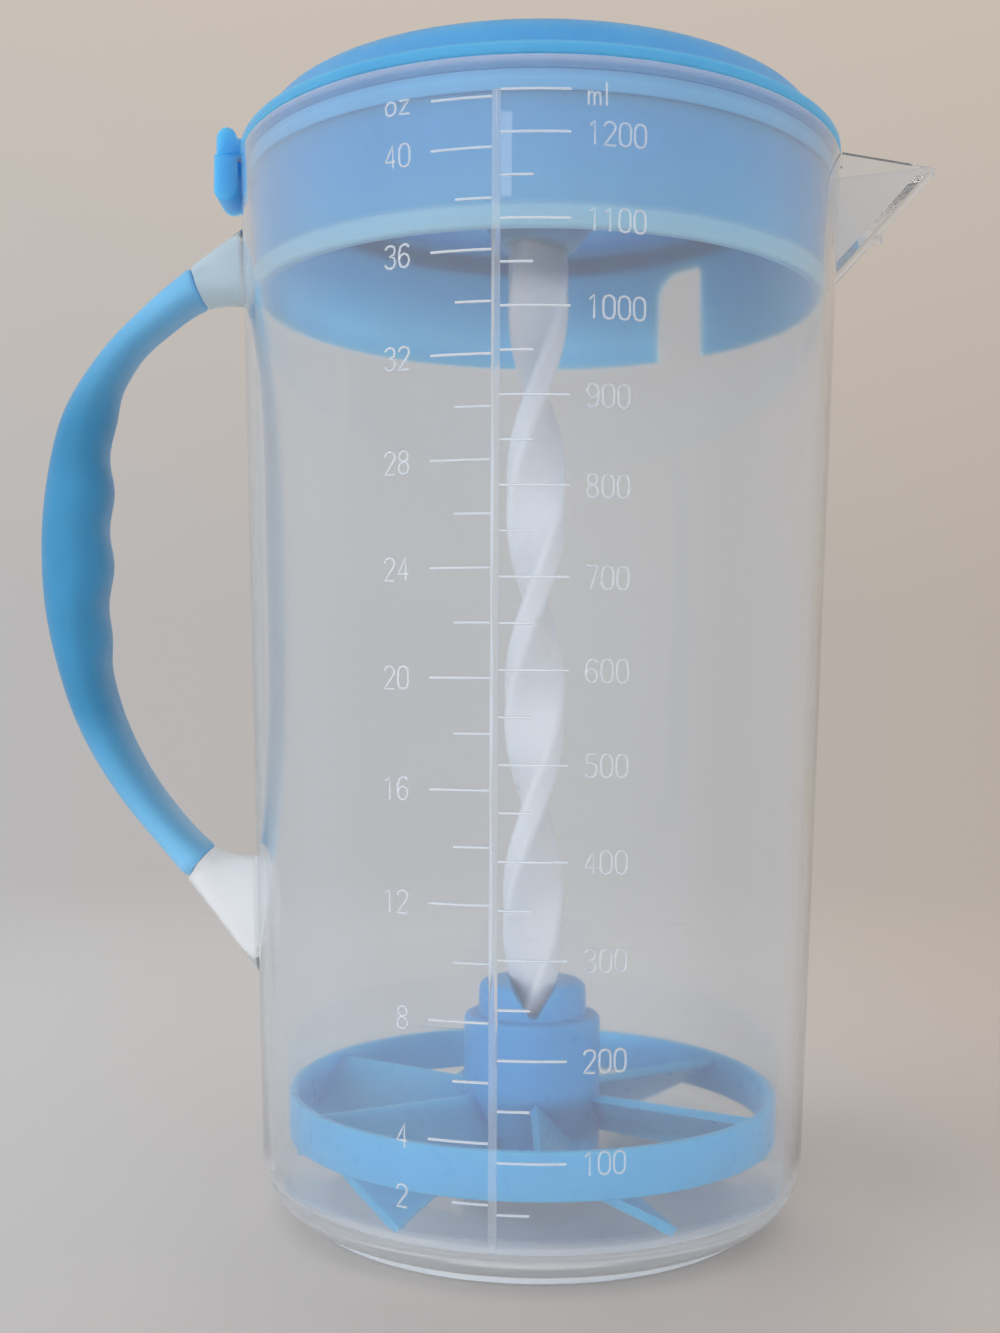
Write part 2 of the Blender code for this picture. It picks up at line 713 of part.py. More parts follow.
def twisted_bar(name, bottom, top, clearance, collection, material=None):
    """Flat bar twisted evenly along the Z axis, swelled on all sides by a clearance."""
    section = bar_section(ROD_WIDTH / 2 + clearance, ROD_THICKNESS / 2 + clearance, ROD_CORNER + clearance)
    count = math.ceil((twist_angle(top) - twist_angle(bottom)) / ROD_TWIST_STEP)
    rings = []
    for i in range(count + 1):
        height = bottom + (top - bottom) * i / count
        turn = Matrix.Rotation(twist_angle(height), 3, "Z")
        rings.append([turn @ Vector((x, y, 0)) + Vector((0, 0, height)) for x, y in section])
    return loft(name, rings, collection, material)


def build_lid(parts, cutters, material):
    """Lid with its thumb lug, pour notch and the twisted slot in the guide boss."""
    lid = revolve("lid", lid_profile(), LID_STEPS, parts, material)
    combine(lid, build_lug(cutters), "UNION")
    combine(lid, build_notch_cutter(cutters), "DIFFERENCE")
    tip = boss_tip_height()
    slot_top = tip + SLOT_PLATE + BOSS_CONE_HEIGHT
    slot = twisted_bar("slot_cutter", tip - CUT_OVERRUN, slot_top, ROD_SLOT_CLEARANCE, cutters)
    combine(lid, slot, "DIFFERENCE")
    return lid


def build_seal(parts, material):
    """Seal ring in the skirt's groove, with a rounded lip towards the jug."""
    seat = lid_heights()[0]
    groove_top = seat - SEAL_DROP
    top = groove_top - SEAT_GAP
    bottom = groove_top - SEAL_HEIGHT + SEAT_GAP
    inner = skirt_radius(groove_top) - SEAL_GROOVE_DEPTH + SEAT_GAP
    lip = jug_inner_radius(bottom) - BEAD_GAP
    body = lip - SEAL_LIP
    middle = (top + bottom) / 2
    profile = [(inner, top), (body, top), (lip, middle), (body, bottom), (inner, bottom)]
    return revolve("lid_seal", profile, LID_STEPS, parts, material)


def knob_base_height():
    """Height of the knob's underside, seated in the lid's well."""
    return lid_heights()[4] + SEAT_GAP


def knob_floor_height():
    """Height of the floor that the screw head holds."""
    return knob_base_height() + KNOB_HEIGHT - KNOB_FLOOR_DEPTH


def knob_profile():
    """Closed profile of the waisted knob, cored from below, with a pocket for its cap."""
    base = knob_base_height()
    top = base + KNOB_HEIGHT
    floor = knob_floor_height()
    ledge = top - KNOB_CAP_THICKNESS - SEAT_GAP
    recess = KNOB_CAP_RADIUS + SEAT_GAP
    bore = JOURNAL_RADIUS + KNOB_BORE_GAP
    waist = base + KNOB_HEIGHT * KNOB_WAIST_SHARE
    core_top = floor - KNOB_FLOOR_THICKNESS
    core_radius = KNOB_WAIST_RADIUS - KNOB_WALL
    edge = arc((KNOB_RADIUS - KNOB_ROUND, top - KNOB_ROUND), (KNOB_ROUND, KNOB_ROUND), math.pi / 2, 0, 3)
    outer = [
        (KNOB_RADIUS, top - 2 * KNOB_ROUND),
        (KNOB_WAIST_RADIUS, waist),
        (KNOB_BASE_RADIUS, base + KNOB_ROUND / 2),
        (KNOB_BASE_RADIUS - KNOB_ROUND / 2, base),
    ]
    inner = [
        (core_radius, base),
        (core_radius, core_top),
        (KNOB_HUB_RADIUS, core_top),
        (KNOB_HUB_RADIUS, base),
        (bore, base),
        (bore, floor),
        (KNOB_POCKET_RADIUS, floor),
        (KNOB_POCKET_RADIUS, ledge),
        (recess, ledge),
        (recess, top),
    ]
    return edge + outer + inner


def build_knob(parts, material):
    """Pull knob that swivels on the rod's journal."""
    return revolve("plunger_knob", knob_profile(), KNOB_STEPS, parts, material)


def build_knob_cap(parts, material):
    """Slightly crowned disc that closes the knob over the screw."""
    top = knob_base_height() + KNOB_HEIGHT
    bottom = top - KNOB_CAP_THICKNESS
    edge = KNOB_CAP_CROWN
    profile = [
        (0, top),
        (KNOB_CAP_RADIUS - edge, top - edge / 2),
        (KNOB_CAP_RADIUS, top - edge - edge / 2),
        (KNOB_CAP_RADIUS, bottom),
        (0, bottom),
    ]
    return revolve("knob_cap", profile, KNOB_STEPS, parts, material, closed=False)


def build_screw(parts, material):
    """Shouldered screw that holds the knob on the journal."""
    seat = knob_floor_height() + SEAT_GAP
    head_top = seat + SCREW_HEAD_HEIGHT
    shank = JOURNAL_HOLE_RADIUS - SEAT_GAP
    tip = seat - SCREW_LENGTH
    profile = [
        (0, head_top),
        (SCREW_HEAD_RADIUS / 2, head_top),
        (SCREW_HEAD_RADIUS, head_top - SCREW_HEAD_DOME),
        (SCREW_HEAD_RADIUS, seat),
        (shank, seat),
        (shank, tip),
        (0, tip - shank / 2),
    ]
    return revolve("knob_screw", profile, SCREW_STEPS, parts, material, closed=False)


def build_rod(parts, cutters, material):
    """Twisted rod with a round journal on top, drilled for the screw."""
    bar_top = knob_base_height() - SEAT_GAP
    journal_top = knob_floor_height()
    rod = twisted_bar("twist_rod", ROD_END_HEIGHT, bar_top, 0, parts, material)
    journal = [(0, journal_top), (JOURNAL_RADIUS, journal_top), (JOURNAL_RADIUS, bar_top - CUT_OVERRUN)]
    journal += [(0, bar_top - JOURNAL_RADIUS - CUT_OVERRUN)]
    combine(rod, revolve("journal", journal, HUB_STEPS, cutters, closed=False), "UNION")
    drill_top = journal_top + CUT_OVERRUN
    drill_bottom = knob_floor_height() - SCREW_LENGTH - CUT_OVERRUN
    drill = [(0, drill_top), (JOURNAL_HOLE_RADIUS, drill_top), (JOURNAL_HOLE_RADIUS, drill_bottom)]
    drill += [(0, drill_bottom - JOURNAL_HOLE_RADIUS / 2)]
    combine(rod, revolve("journal_drill", drill, SCREW_STEPS, cutters, closed=False), "DIFFERENCE")
    return rod


def hub_profile():
    """Closed profile of the hub: outer shell, socket tube and snap collar."""
    collar_top = HUB_TOP + COLLAR_HEIGHT
    core = HUB_BOTTOM + HUB_CORE_DEPTH
    shell = HUB_RADIUS - HUB_WALL
    collar_edge = arc(
        (COLLAR_RADIUS - COLLAR_ROUND, collar_top - COLLAR_ROUND),
        (COLLAR_ROUND, COLLAR_ROUND),
        math.pi / 2,
        0,
        3,
    )
    return (
        [(PILOT_RADIUS, collar_top)]
        + collar_edge
        + [
            (COLLAR_RADIUS, HUB_TOP),
            (HUB_RADIUS - HUB_EDGE_ROUND, HUB_TOP),
            (HUB_RADIUS, HUB_TOP - HUB_EDGE_ROUND),
            (HUB_RADIUS, HUB_BOTTOM),
            (shell, HUB_BOTTOM),
            (shell, core),
            (SOCKET_WALL_RADIUS, core),
            (SOCKET_WALL_RADIUS, HUB_BOTTOM),
            (PILOT_RADIUS, HUB_BOTTOM),
        ]
    )


def ring_profile():
    """Closed profile of the wheel's ring."""
    inner = RING_RADIUS - RING_WALL
    return [
        (inner, RING_TOP),
        (RING_RADIUS, RING_TOP),
        (RING_RADIUS, RING_BOTTOM),
        (inner, RING_BOTTOM),
    ]


def build_vane(index, cutters):
    """One pitched vane, from inside the hub's shell to the middle of the ring's wall."""
    start = HUB_RADIUS - VANE_ROOT_DEPTH
    end = RING_RADIUS - RING_WALL / 2
    azimuth = VANE_FIRST_AZIMUTH + 2 * math.pi * index / VANE_COUNT
    shape = bmesh.new()
    bmesh.ops.create_grid(shape, x_segments=VANE_RADIAL_STEPS, y_segments=VANE_CHORD_STEPS, size=1)
    for vertex in shape.verts:
        out = (vertex.co.x + 1) / 2
        down = (vertex.co.y + 1) / 2
        radius = start + (end - start) * out
        drop = VANE_HUB_DROP + (VANE_RING_DROP - VANE_HUB_DROP) * out
        angle = azimuth + VANE_SPREAD * down
        vertex.co = (radius * math.cos(angle), radius * math.sin(angle), VANE_TOP - drop * down)
    mesh = bpy.data.meshes.new(f"vane_{index + 1}")
    shape.to_mesh(mesh)
    shape.free()
    vane = add_object(f"vane_{index + 1}", mesh, cutters)
    shell = vane.modifiers.new("thickness", "SOLIDIFY")
    shell.thickness = VANE_THICKNESS
    shell.offset = 0
    return vane


def build_wheel(parts, cutters, material):
    """Mixer wheel: hub, ring and vanes in one moulding, with a twisted socket for the rod."""
    wheel = revolve("mixer_wheel", hub_profile(), HUB_STEPS, parts, material)
    for index in range(VANE_COUNT):
        combine(wheel, build_vane(index, cutters), "UNION")
    combine(wheel, revolve("ring", ring_profile(), LID_STEPS, cutters), "UNION")
    collar_top = HUB_TOP + COLLAR_HEIGHT
    notch = [
        (-COLLAR_NOTCH_ROOT, HUB_TOP + COLLAR_NOTCH_ROOT),
        (COLLAR_NOTCH_ROOT, HUB_TOP + COLLAR_NOTCH_ROOT),
        (COLLAR_NOTCH_HALF_WIDTH, collar_top + COLLAR_NOTCH_ROOT),
        (-COLLAR_NOTCH_HALF_WIDTH, collar_top + COLLAR_NOTCH_ROOT),
    ]
    upright = Matrix.Rotation(math.pi / 2, 4, "X")
    cut = plate("collar_notch", notch, COLLAR_RADIUS + CUT_OVERRUN, upright, cutters)
    combine(wheel, cut, "DIFFERENCE")
    socket_bottom = ROD_END_HEIGHT - SEAT_GAP
    socket = twisted_bar("socket_cutter", socket_bottom, collar_top + CUT_OVERRUN, SEAT_GAP, cutters)
    combine(wheel, socket, "DIFFERENCE")
    return wheel


def joint_empty(name, height, pieces):
    """Empty on the jug's axis that carries the pieces of one moving group."""
    item = bpy.data.objects.new(name, None)
    bpy.context.scene.collection.objects.link(item)
    item.location = (jug_axis_place(), 0, height)
    item.empty_display_size = RIM_RADIUS
    for piece in pieces:
        piece.parent = item
        piece.matrix_parent_inverse = Matrix.Translation(-item.location)


def build_pitcher():
    """Build every piece of the pitcher and hang it from the empty of its joint."""
    clear_scene()
    parts = make_collection(PARTS_COLLECTION)
    cutters = make_collection(CUTTERS_COLLECTION)
    clear = moulded("clear_polypropylene", CLEAR_COLOUR, 0.25, transmission=0.8)
    lid_blue = moulded("lid_blue", LID_COLOUR, 0.3)
    grip_blue = moulded("soft_grip_blue", GRIP_COLOUR, 0.6)
    wheel_blue = moulded("wheel_blue", WHEEL_COLOUR, 0.35, transmission=0.4)
    rod_white = moulded("rod_white", ROD_COLOUR, 0.35)
    silicone = moulded("seal_silicone", SEAL_COLOUR, 0.5, transmission=0.5)
    steel = moulded("screw_steel", STEEL_COLOUR, 0.3, metallic=1.0)
    cap_blue = moulded("knob_cap_blue", LID_COLOUR, 0.35)
    knob_blue = moulded("knob_blue", LID_COLOUR, 0.3)

    vessel = [build_jug(parts, cutters, clear), build_grip(parts, grip_blue)]
    seal = build_seal(parts, silicone)
    lid = build_lid(parts, cutters, lid_blue)
    knob = [build_knob(parts, knob_blue), build_knob_cap(parts, cap_blue)]
    agitator = [
        build_rod(parts, cutters, rod_white),
        build_screw(parts, steel),
        build_wheel(parts, cutters, wheel_blue),
    ]

    joint_empty("vessel_origin", 0, vessel)
    joint_empty("lid_lift_axis", RIM_HEIGHT, [seal])
    joint_empty("lid_turn_axis", RIM_HEIGHT, [lid])
    joint_empty("plunger_axis", knob_base_height(), knob)
    joint_empty("rod_spin_axis", ROD_END_HEIGHT, agitator)


build_pitcher()
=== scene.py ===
"""Formula mixing pitcher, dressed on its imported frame.

Every piece is drawn round its own Z axis in metres, with the spout towards +X and the
handle towards -X, and then stands on the jug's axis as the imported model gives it.
"""

from __future__ import annotations

import json
import logging
import math
from dataclasses import dataclass
from enum import Enum
from typing import Callable, Iterable, Sequence

import bmesh
import bpy
from mathutils import Matrix, Vector


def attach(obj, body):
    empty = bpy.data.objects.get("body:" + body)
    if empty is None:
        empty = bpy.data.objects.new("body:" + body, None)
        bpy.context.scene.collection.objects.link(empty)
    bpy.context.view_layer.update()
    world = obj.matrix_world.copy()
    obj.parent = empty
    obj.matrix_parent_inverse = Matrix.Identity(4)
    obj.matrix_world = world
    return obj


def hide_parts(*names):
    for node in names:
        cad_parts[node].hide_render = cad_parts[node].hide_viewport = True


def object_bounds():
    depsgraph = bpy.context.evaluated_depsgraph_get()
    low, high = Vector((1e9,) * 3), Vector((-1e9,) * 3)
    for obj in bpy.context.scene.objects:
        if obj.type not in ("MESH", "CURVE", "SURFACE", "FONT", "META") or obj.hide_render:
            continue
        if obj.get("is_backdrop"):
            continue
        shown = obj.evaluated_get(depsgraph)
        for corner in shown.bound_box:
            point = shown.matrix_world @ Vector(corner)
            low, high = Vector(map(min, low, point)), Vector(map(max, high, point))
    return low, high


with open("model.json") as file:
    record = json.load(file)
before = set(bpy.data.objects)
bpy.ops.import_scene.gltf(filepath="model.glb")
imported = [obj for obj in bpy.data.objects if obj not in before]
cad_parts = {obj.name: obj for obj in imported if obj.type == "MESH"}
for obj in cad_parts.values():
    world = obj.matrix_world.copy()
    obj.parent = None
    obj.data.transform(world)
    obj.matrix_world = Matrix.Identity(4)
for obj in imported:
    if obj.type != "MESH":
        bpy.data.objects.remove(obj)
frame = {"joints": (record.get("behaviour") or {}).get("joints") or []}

LOG = logging.getLogger("pitcher")
Colour = tuple[float, float, float, float]
Outline = list[tuple[float, float]]
Mesh = bpy.types.Mesh
Piece = bpy.types.Object
Material = bpy.types.Material
Socket = bpy.types.NodeSocket

JUG_AXIS = next(joint["pos_m"][0] for joint in frame["joints"] if joint["name"] == "lid_turn")

# How meshes are made: edges steeper than the angle stay sharp, points closer than MERGE become
# one, and a rounding takes at most its share of each edge beside it
SMOOTH_ANGLE = math.radians(38)
MERGE = 0.000002
TURN_STEPS = 192
SMALL_TURN_STEPS = 96
NUB_TURN_STEPS = 20
EDGE_STEPS = 6
LONGEST_ROUNDING = 0.49

# Gap between fitted pieces, overrun of a cutting solid, and the seal's closer gap in its groove
GAP = 0.0003
OVERRUN = 0.002
SNUG = 0.0001

# Roundings of moulded edges, from nearly sharp to soft
CRISP = 0.0002
FINE = 0.0003
SMALL = 0.0004
EVEN = 0.0005
MILD = 0.0006
SOFT = 0.0008


class Body(Enum):
    """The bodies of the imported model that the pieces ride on."""

    VESSEL = "vessel"
    SEAL = "seal"
    LID = "lid"
    PLUNGER = "plunger"
    AGITATOR = "agitator"


class Carve(Enum):
    """The ways that one solid can be worked with another."""

    ADD = "UNION"
    CUT = "DIFFERENCE"


# Outlines and meshes


def arc(
    centre: tuple[float, float], reach: tuple[float, float], start: float, end: float, count: int
) -> Outline:
    """Points on an ellipse arc.

    Args:
        centre: The ellipse's centre.
        reach: Its half widths along the two directions.
        start: First angle, in radians.
        end: Last angle, in radians.
        count: Number of steps.

    Returns:
        The points, both ends included.
    """
    turns = [start + (end - start) * i / count for i in range(count + 1)]
    return [(centre[0] + reach[0] * math.cos(t), centre[1] + reach[1] * math.sin(t)) for t in turns]


def rounded(corners: Sequence[tuple[float, float, float]], steps: int = 5, closed: bool = True) -> Outline:
    """Round the corners of an outline.

    Args:
        corners: Each corner as (radius, height, rounding).
        steps: Steps on each rounding.
        closed: True where the last corner joins the first.

    Returns:
        The rounded outline.
    """
    outline: Outline = []
    count = len(corners)
    for i, (x, z, rounding) in enumerate(corners):
        if rounding <= 0 or (not closed and i in (0, count - 1)):
            outline.append((x, z))
            continue
        here = Vector((x, z))
        before = Vector(corners[i - 1][:2]) - here
        after = Vector(corners[(i + 1) % count][:2]) - here
        opening = before.angle(after)
        longest = LONGEST_ROUNDING * min(before.length, after.length)
        along = min(rounding / math.tan(opening / 2), longest)
        start = here + before.normalized() * along
        end = here + after.normalized() * along
        for step in range(steps + 1):
            part = step / steps
            point = start * (1 - part) ** 2 + here * (2 * part * (1 - part)) + end * part**2
            outline.append((point.x, point.y))
    return outline


def finish_mesh(shape: bmesh.types.BMesh, name: str) -> Mesh:
    """Turn a mesh under construction into a smooth shaded mesh.

    Args:
        shape: The mesh under construction, which is freed.
        name: Name of the new mesh.

    Returns:
        The finished mesh.
    """
    bmesh.ops.remove_doubles(shape, verts=shape.verts, dist=MERGE)
    bmesh.ops.recalc_face_normals(shape, faces=shape.faces)
    mesh = bpy.data.meshes.new(name)
    shape.to_mesh(mesh)
    shape.free()
    mesh.shade_smooth()
    mesh.set_sharp_from_angle(angle=SMOOTH_ANGLE)
    return mesh


def turned(name: str, outline: Outline, steps: int = TURN_STEPS, closed: bool = True) -> Mesh:
    """Turn an outline of (radius, height) points round the Z axis.

    Args:
        name: Name of the mesh.
        outline: The points. An open outline starts and ends on the axis.
        steps: Steps round the turn.
        closed: True where the last point joins the first.

    Returns:
        The turned mesh.
    """
    shape = bmesh.new()
    rows = []
    angles = [2 * math.pi * i / steps for i in range(steps)]
    for radius, height in outline:
        if radius <= MERGE:
            rows.append([shape.verts.new((0, 0, height))] * steps)
            continue
        ring = [(radius * math.cos(a), radius * math.sin(a), height) for a in angles]
        rows.append([shape.verts.new(point) for point in ring])
    pairs = list(zip(rows, rows[1:]))
    if closed:
        pairs.append((rows[-1], rows[0]))
    for near, far in pairs:
        for i in range(steps):
            j = (i + 1) % steps
            corners = list(dict.fromkeys((near[i], near[j], far[j], far[i])))
            if len(corners) > 2:
                shape.faces.new(corners)
    return finish_mesh(shape, name)


def skinned(name: str, rings: Sequence[Sequence[Vector]], sleeve: bool = False) -> Mesh:
    """Skin a row of rings that have equally many points.

    Args:
        name: Name of the mesh.
        rings: The rings, in order.
        sleeve: True where the last ring joins the first; any other skin is capped.

    Returns:
        The skinned mesh.
    """
    shape = bmesh.new()
    rows = [[shape.verts.new(point) for point in ring] for ring in rings]
    pairs = list(zip(rows, rows[1:]))
    if sleeve:
        pairs.append((rows[-1], rows[0]))
    count = len(rows[0])
    for near, far in pairs:
        for i in range(count):
            j = (i + 1) % count
            shape.faces.new((near[i], near[j], far[j], far[i]))
    if not sleeve:
        shape.faces.new(list(reversed(rows[0])))
        shape.faces.new(rows[-1])
    return finish_mesh(shape, name)


def slab(name: str, outline: Outline, half: float, placement: Matrix) -> Mesh:
    """Extrude a flat outline both ways.

    Args:
        name: Name of the mesh.
        outline: The flat outline.
        half: Half of the thickness.
        placement: Where the outline's plane stands.

    Returns:
        The extruded mesh.
    """
    rings = [[placement @ Vector((x, y, side)) for x, y in outline] for side in (-half, half)]
    return skinned(name, rings)


def pillow(name: str, outline: Outline, half: float, edge: float, placement: Matrix) -> Mesh:
    """Extrude a flat outline both ways, with both ends rounded over.

    Args:
        name: Name of the mesh.
        outline: The flat outline.
        half: Half of the thickness.
        edge: Radius of the rounding.
        placement: Where the outline's plane stands.

    Returns:
        The extruded mesh.
    """
    low = [min(point[axis] for point in outline) for axis in (0, 1)]
    high = [max(point[axis] for point in outline) for axis in (0, 1)]
    middle = [(a + b) / 2 for a, b in zip(low, high)]
    angles = [i * math.pi / (2 * EDGE_STEPS) for i in range(EDGE_STEPS + 1)]
    rounding = [(edge * (1 - math.sin(a)), half - edge * (1 - math.cos(a))) for a in angles]
    rings = []
    for inset, depth in [(i, -d) for i, d in rounding] + [(i, d) for i, d in reversed(rounding)]:
        share = [1 - 2 * inset / (b - a) for a, b in zip(low, high)]
        ring = [[m + (value - m) * s for value, m, s in zip(point, middle, share)] for point in outline]
        rings.append([placement @ Vector((*point, depth)) for point in ring])
    return skinned(name, rings)


def carved(base: Mesh, steps: Iterable[tuple[Carve, Mesh]]) -> Mesh:
    """Work a solid with other solids, in order.

    Args:
        base: The solid that is worked.
        steps: How each other solid works it.

    Returns:
        The worked mesh, smooth shaded.
    """
    scene = bpy.context.scene
    item = bpy.data.objects.new(base.name, base)
    scene.collection.objects.link(item)
    helpers = []
    for way, tool in steps:
        helper = bpy.data.objects.new(tool.name, tool)
        scene.collection.objects.link(helper)
        helpers.append(helper)
        work = item.modifiers.new(tool.name, "BOOLEAN")
        work.operation = way.value
        work.solver = "EXACT"
        work.object = helper
    bpy.context.view_layer.update()
    mesh = bpy.data.meshes.new_from_object(item.evaluated_get(bpy.context.evaluated_depsgraph_get()))
    for old in [item] + helpers:
        bpy.data.objects.remove(old, do_unlink=True)
    shape = bmesh.new()
    shape.from_mesh(mesh)
    bpy.data.meshes.remove(mesh)
    return finish_mesh(shape, base.name)


# Finishes


# Socket numbers of the colour mix node, which has sockets for other kinds of value too
COLOUR_SHARE = 0
FIRST_COLOUR = 6
SECOND_COLOUR = 7
MIXED_COLOUR = 2

PLASTIC_IOR = 1.49


@dataclass(frozen=True)
class Grain:
    """A grain of noise: its size in metres, its finer levels and its stretch along each axis."""

    size: float
    detail: float
    stretch: tuple[float, float, float] = (1, 1, 1)


class Sheet:
    """The node sheet of a material or of the world, with short calls to fill it."""

    def __init__(self, owner: Material | bpy.types.World) -> None:
        """Start on the emptied sheet of that material or world.

        Args:
            owner: The material or world.
        """
        self.owner = owner
        self.owner.use_nodes = True
        self.tree = self.owner.node_tree
        self.tree.nodes.clear()

    @classmethod
    def named(cls, name: str) -> Sheet:
        """Start a new material of that name."""
        return cls(bpy.data.materials.new(name))

    def node(self, kind: str, **values: object) -> bpy.types.Node:
        """Add a node.

        Args:
            kind: The node's type.
            values: Its settings.

        Returns:
            The node.
        """
        made = self.tree.nodes.new(kind)
        for key, value in values.items():
            setattr(made, key, value)
        return made

    def link(self, start: Socket, end: Socket) -> None:
        """Join two sockets."""
        self.tree.links.new(start, end)

    def noise(self, grain: Grain) -> Socket:
        """Noise in the piece's own metres.

        Args:
            grain: The noise's grain.

        Returns:
            The noise value's socket.
        """
        mapping = self.node("ShaderNodeMapping")
        mapping.inputs["Scale"].default_value = [1 / s for s in grain.stretch]
        self.link(self.place(), mapping.inputs["Vector"])
        noise = self.node("ShaderNodeTexNoise")
        noise.inputs["Scale"].default_value = 1 / grain.size
        noise.inputs["Detail"].default_value = grain.detail
        self.link(mapping.outputs["Vector"], noise.inputs["Vector"])
        return noise.outputs["Fac"]

    def place(self) -> Socket:
        """Socket of the piece's own coordinates."""
        return self.node("ShaderNodeTexCoord").outputs["Object"]

    def part(self, vector: Socket, axis: str) -> Socket:
        """Socket of a vector's part along one axis.

        Args:
            vector: The vector's socket.
            axis: X, Y or Z.

        Returns:
            The part's socket.
        """
        split = self.node("ShaderNodeSeparateXYZ")
        self.link(vector, split.inputs[0])
        return split.outputs[axis]

    def reach(self) -> Socket:
        """Socket of the distance from the piece's own Z axis.

        Returns:
            The distance's socket.
        """
        flat = self.node("ShaderNodeVectorMath", operation="MULTIPLY")
        flat.inputs[1].default_value = (1, 1, 0)
        self.link(self.place(), flat.inputs[0])
        length = self.node("ShaderNodeVectorMath", operation="LENGTH")
        self.link(flat.outputs[0], length.inputs[0])
        return length.outputs["Value"]

    def spread(
        self,
        value: Socket,
        low: float,
        high: float,
        start: float = 0.3,
        end: float = 0.7,
        soft: bool = False,
    ) -> Socket:
        """Spread a value from one range over another.

        Args:
            value: The value's socket.
            low: Result at the start.
            high: Result at the end.
            start: Value that gives low. The usual range is the one that noise fills.
            end: Value that gives high.
            soft: True where both ends ease in and out.

        Returns:
            The result's socket.
        """
        span = self.node("ShaderNodeMapRange", interpolation_type="SMOOTHSTEP" if soft else "LINEAR")
        span.inputs["From Min"].default_value = start
        span.inputs["From Max"].default_value = end
        span.inputs["To Min"].default_value = low
        span.inputs["To Max"].default_value = high
        self.link(value, span.inputs["Value"])
        return span.outputs["Result"]

    def combine(self, way: str, first: Socket, second: Socket) -> Socket:
        """Combine two values in one of Blender's ways of reckoning.

        Args:
            way: The way, such as ADD, MULTIPLY or MAXIMUM.
            first: The first value's socket.
            second: The second value's socket.

        Returns:
            The result's socket.
        """
        made = self.node("ShaderNodeMath", operation=way)
        self.link(first, made.inputs[0])
        self.link(second, made.inputs[1])
        return made.outputs[0]

    def tint(self, value: Socket, first: Colour | Socket, second: Colour) -> Socket:
        """Blend two colours by a value.

        Args:
            value: The value's socket, from 0 to 1.
            first: Colour at 0, or its socket.
            second: Colour at 1.

        Returns:
            The colour's socket.
        """
        blend = self.node("ShaderNodeMix", data_type="RGBA")
        if isinstance(first, tuple):
            blend.inputs[FIRST_COLOUR].default_value = first
        else:
            self.link(first, blend.inputs[FIRST_COLOUR])
        blend.inputs[SECOND_COLOUR].default_value = second
        self.link(value, blend.inputs[COLOUR_SHARE])
        return blend.outputs[MIXED_COLOUR]

    def bump(self, height: Socket, depth: float, under: Socket | None = None) -> Socket:
        """Raise a surface by a value.

        Args:
            height: The height value's socket.
            depth: Depth of the relief, in metres.
            under: Normal of a relief below this one.

        Returns:
            The normal's socket.
        """
        relief = self.node("ShaderNodeBump")
        relief.inputs["Distance"].default_value = depth
        relief.inputs["Strength"].default_value = 1.0
        self.link(height, relief.inputs["Height"])
        if under is not None:
            self.link(under, relief.inputs["Normal"])
        return relief.outputs["Normal"]

    def output(self, surface: Socket) -> Material:
        """Send a surface to the material's output and return the material.

        Args:
            surface: The surface's socket.

        Returns:
            The material.
        """
        end = self.node("ShaderNodeOutputMaterial")
        self.link(surface, end.inputs["Surface"])
        return self.owner


def beside(value: float, steps: tuple[float, float]) -> tuple[float, float]:
    """Two values that lie a step away from one value each."""
    return (value + steps[0], value + steps[1])


def scaled(colour: Colour, share: float) -> Colour:
    """A colour made lighter or darker by a share."""
    return (min(colour[0] * share, 1), min(colour[1] * share, 1), min(colour[2] * share, 1), 1.0)


@dataclass(frozen=True)
class MouldedPlastic:
    """Satin moulded plastic with faint flow marks and handling scuffs."""

    name: str
    colour: Colour
    roughness: float = 0.33
    inner_light: float = 0.6
    inner_reach: float = 0.004
    inner_colour: tuple[float, float, float] = (0.7, 1.0, 1.0)
    solidness: float = 1.0
    tones: tuple[float, float] = (0.93, 1.06)
    roughness_steps: tuple[float, float] = (-0.05, 0.08)
    fine: Grain = Grain(0.0006, 2)
    relief: float = 0.000006
    flow: Grain = Grain(0.016, 3, (1, 1, 2.2))
    flow_relief: float = 0.00005
    scuff: Grain = Grain(0.0035, 8)

    def base(self, sheet: Sheet, flow: Socket) -> Socket:
        """Colour with faint flow marks.

        Args:
            sheet: The material's sheet.
            flow: Socket of the flow marks.

        Returns:
            The colour's socket.
        """
        dark, light = (scaled(self.colour, tone) for tone in self.tones)
        return sheet.tint(sheet.spread(flow, 0, 1), dark, light)

    def material(self) -> Material:
        """Build the material.

        Returns:
            The material.
        """
        sheet = Sheet.named(self.name)
        shader = sheet.node("ShaderNodeBsdfPrincipled")
        flow = sheet.noise(self.flow)
        sheet.link(self.base(sheet, flow), shader.inputs["Base Color"])
        scuff = sheet.spread(sheet.noise(self.scuff), *beside(self.roughness, self.roughness_steps))
        sheet.link(scuff, shader.inputs["Roughness"])
        shader.inputs["Subsurface Weight"].default_value = self.inner_light
        shader.inputs["Subsurface Radius"].default_value = self.inner_colour
        shader.inputs["Subsurface Scale"].default_value = self.inner_reach
        shader.inputs["Alpha"].default_value = self.solidness
        shader.inputs["IOR"].default_value = PLASTIC_IOR
        fine = sheet.bump(sheet.noise(self.fine), self.relief)
        sheet.link(sheet.bump(flow, self.flow_relief, fine), shader.inputs["Normal"])
        return sheet.output(shader.outputs["BSDF"])


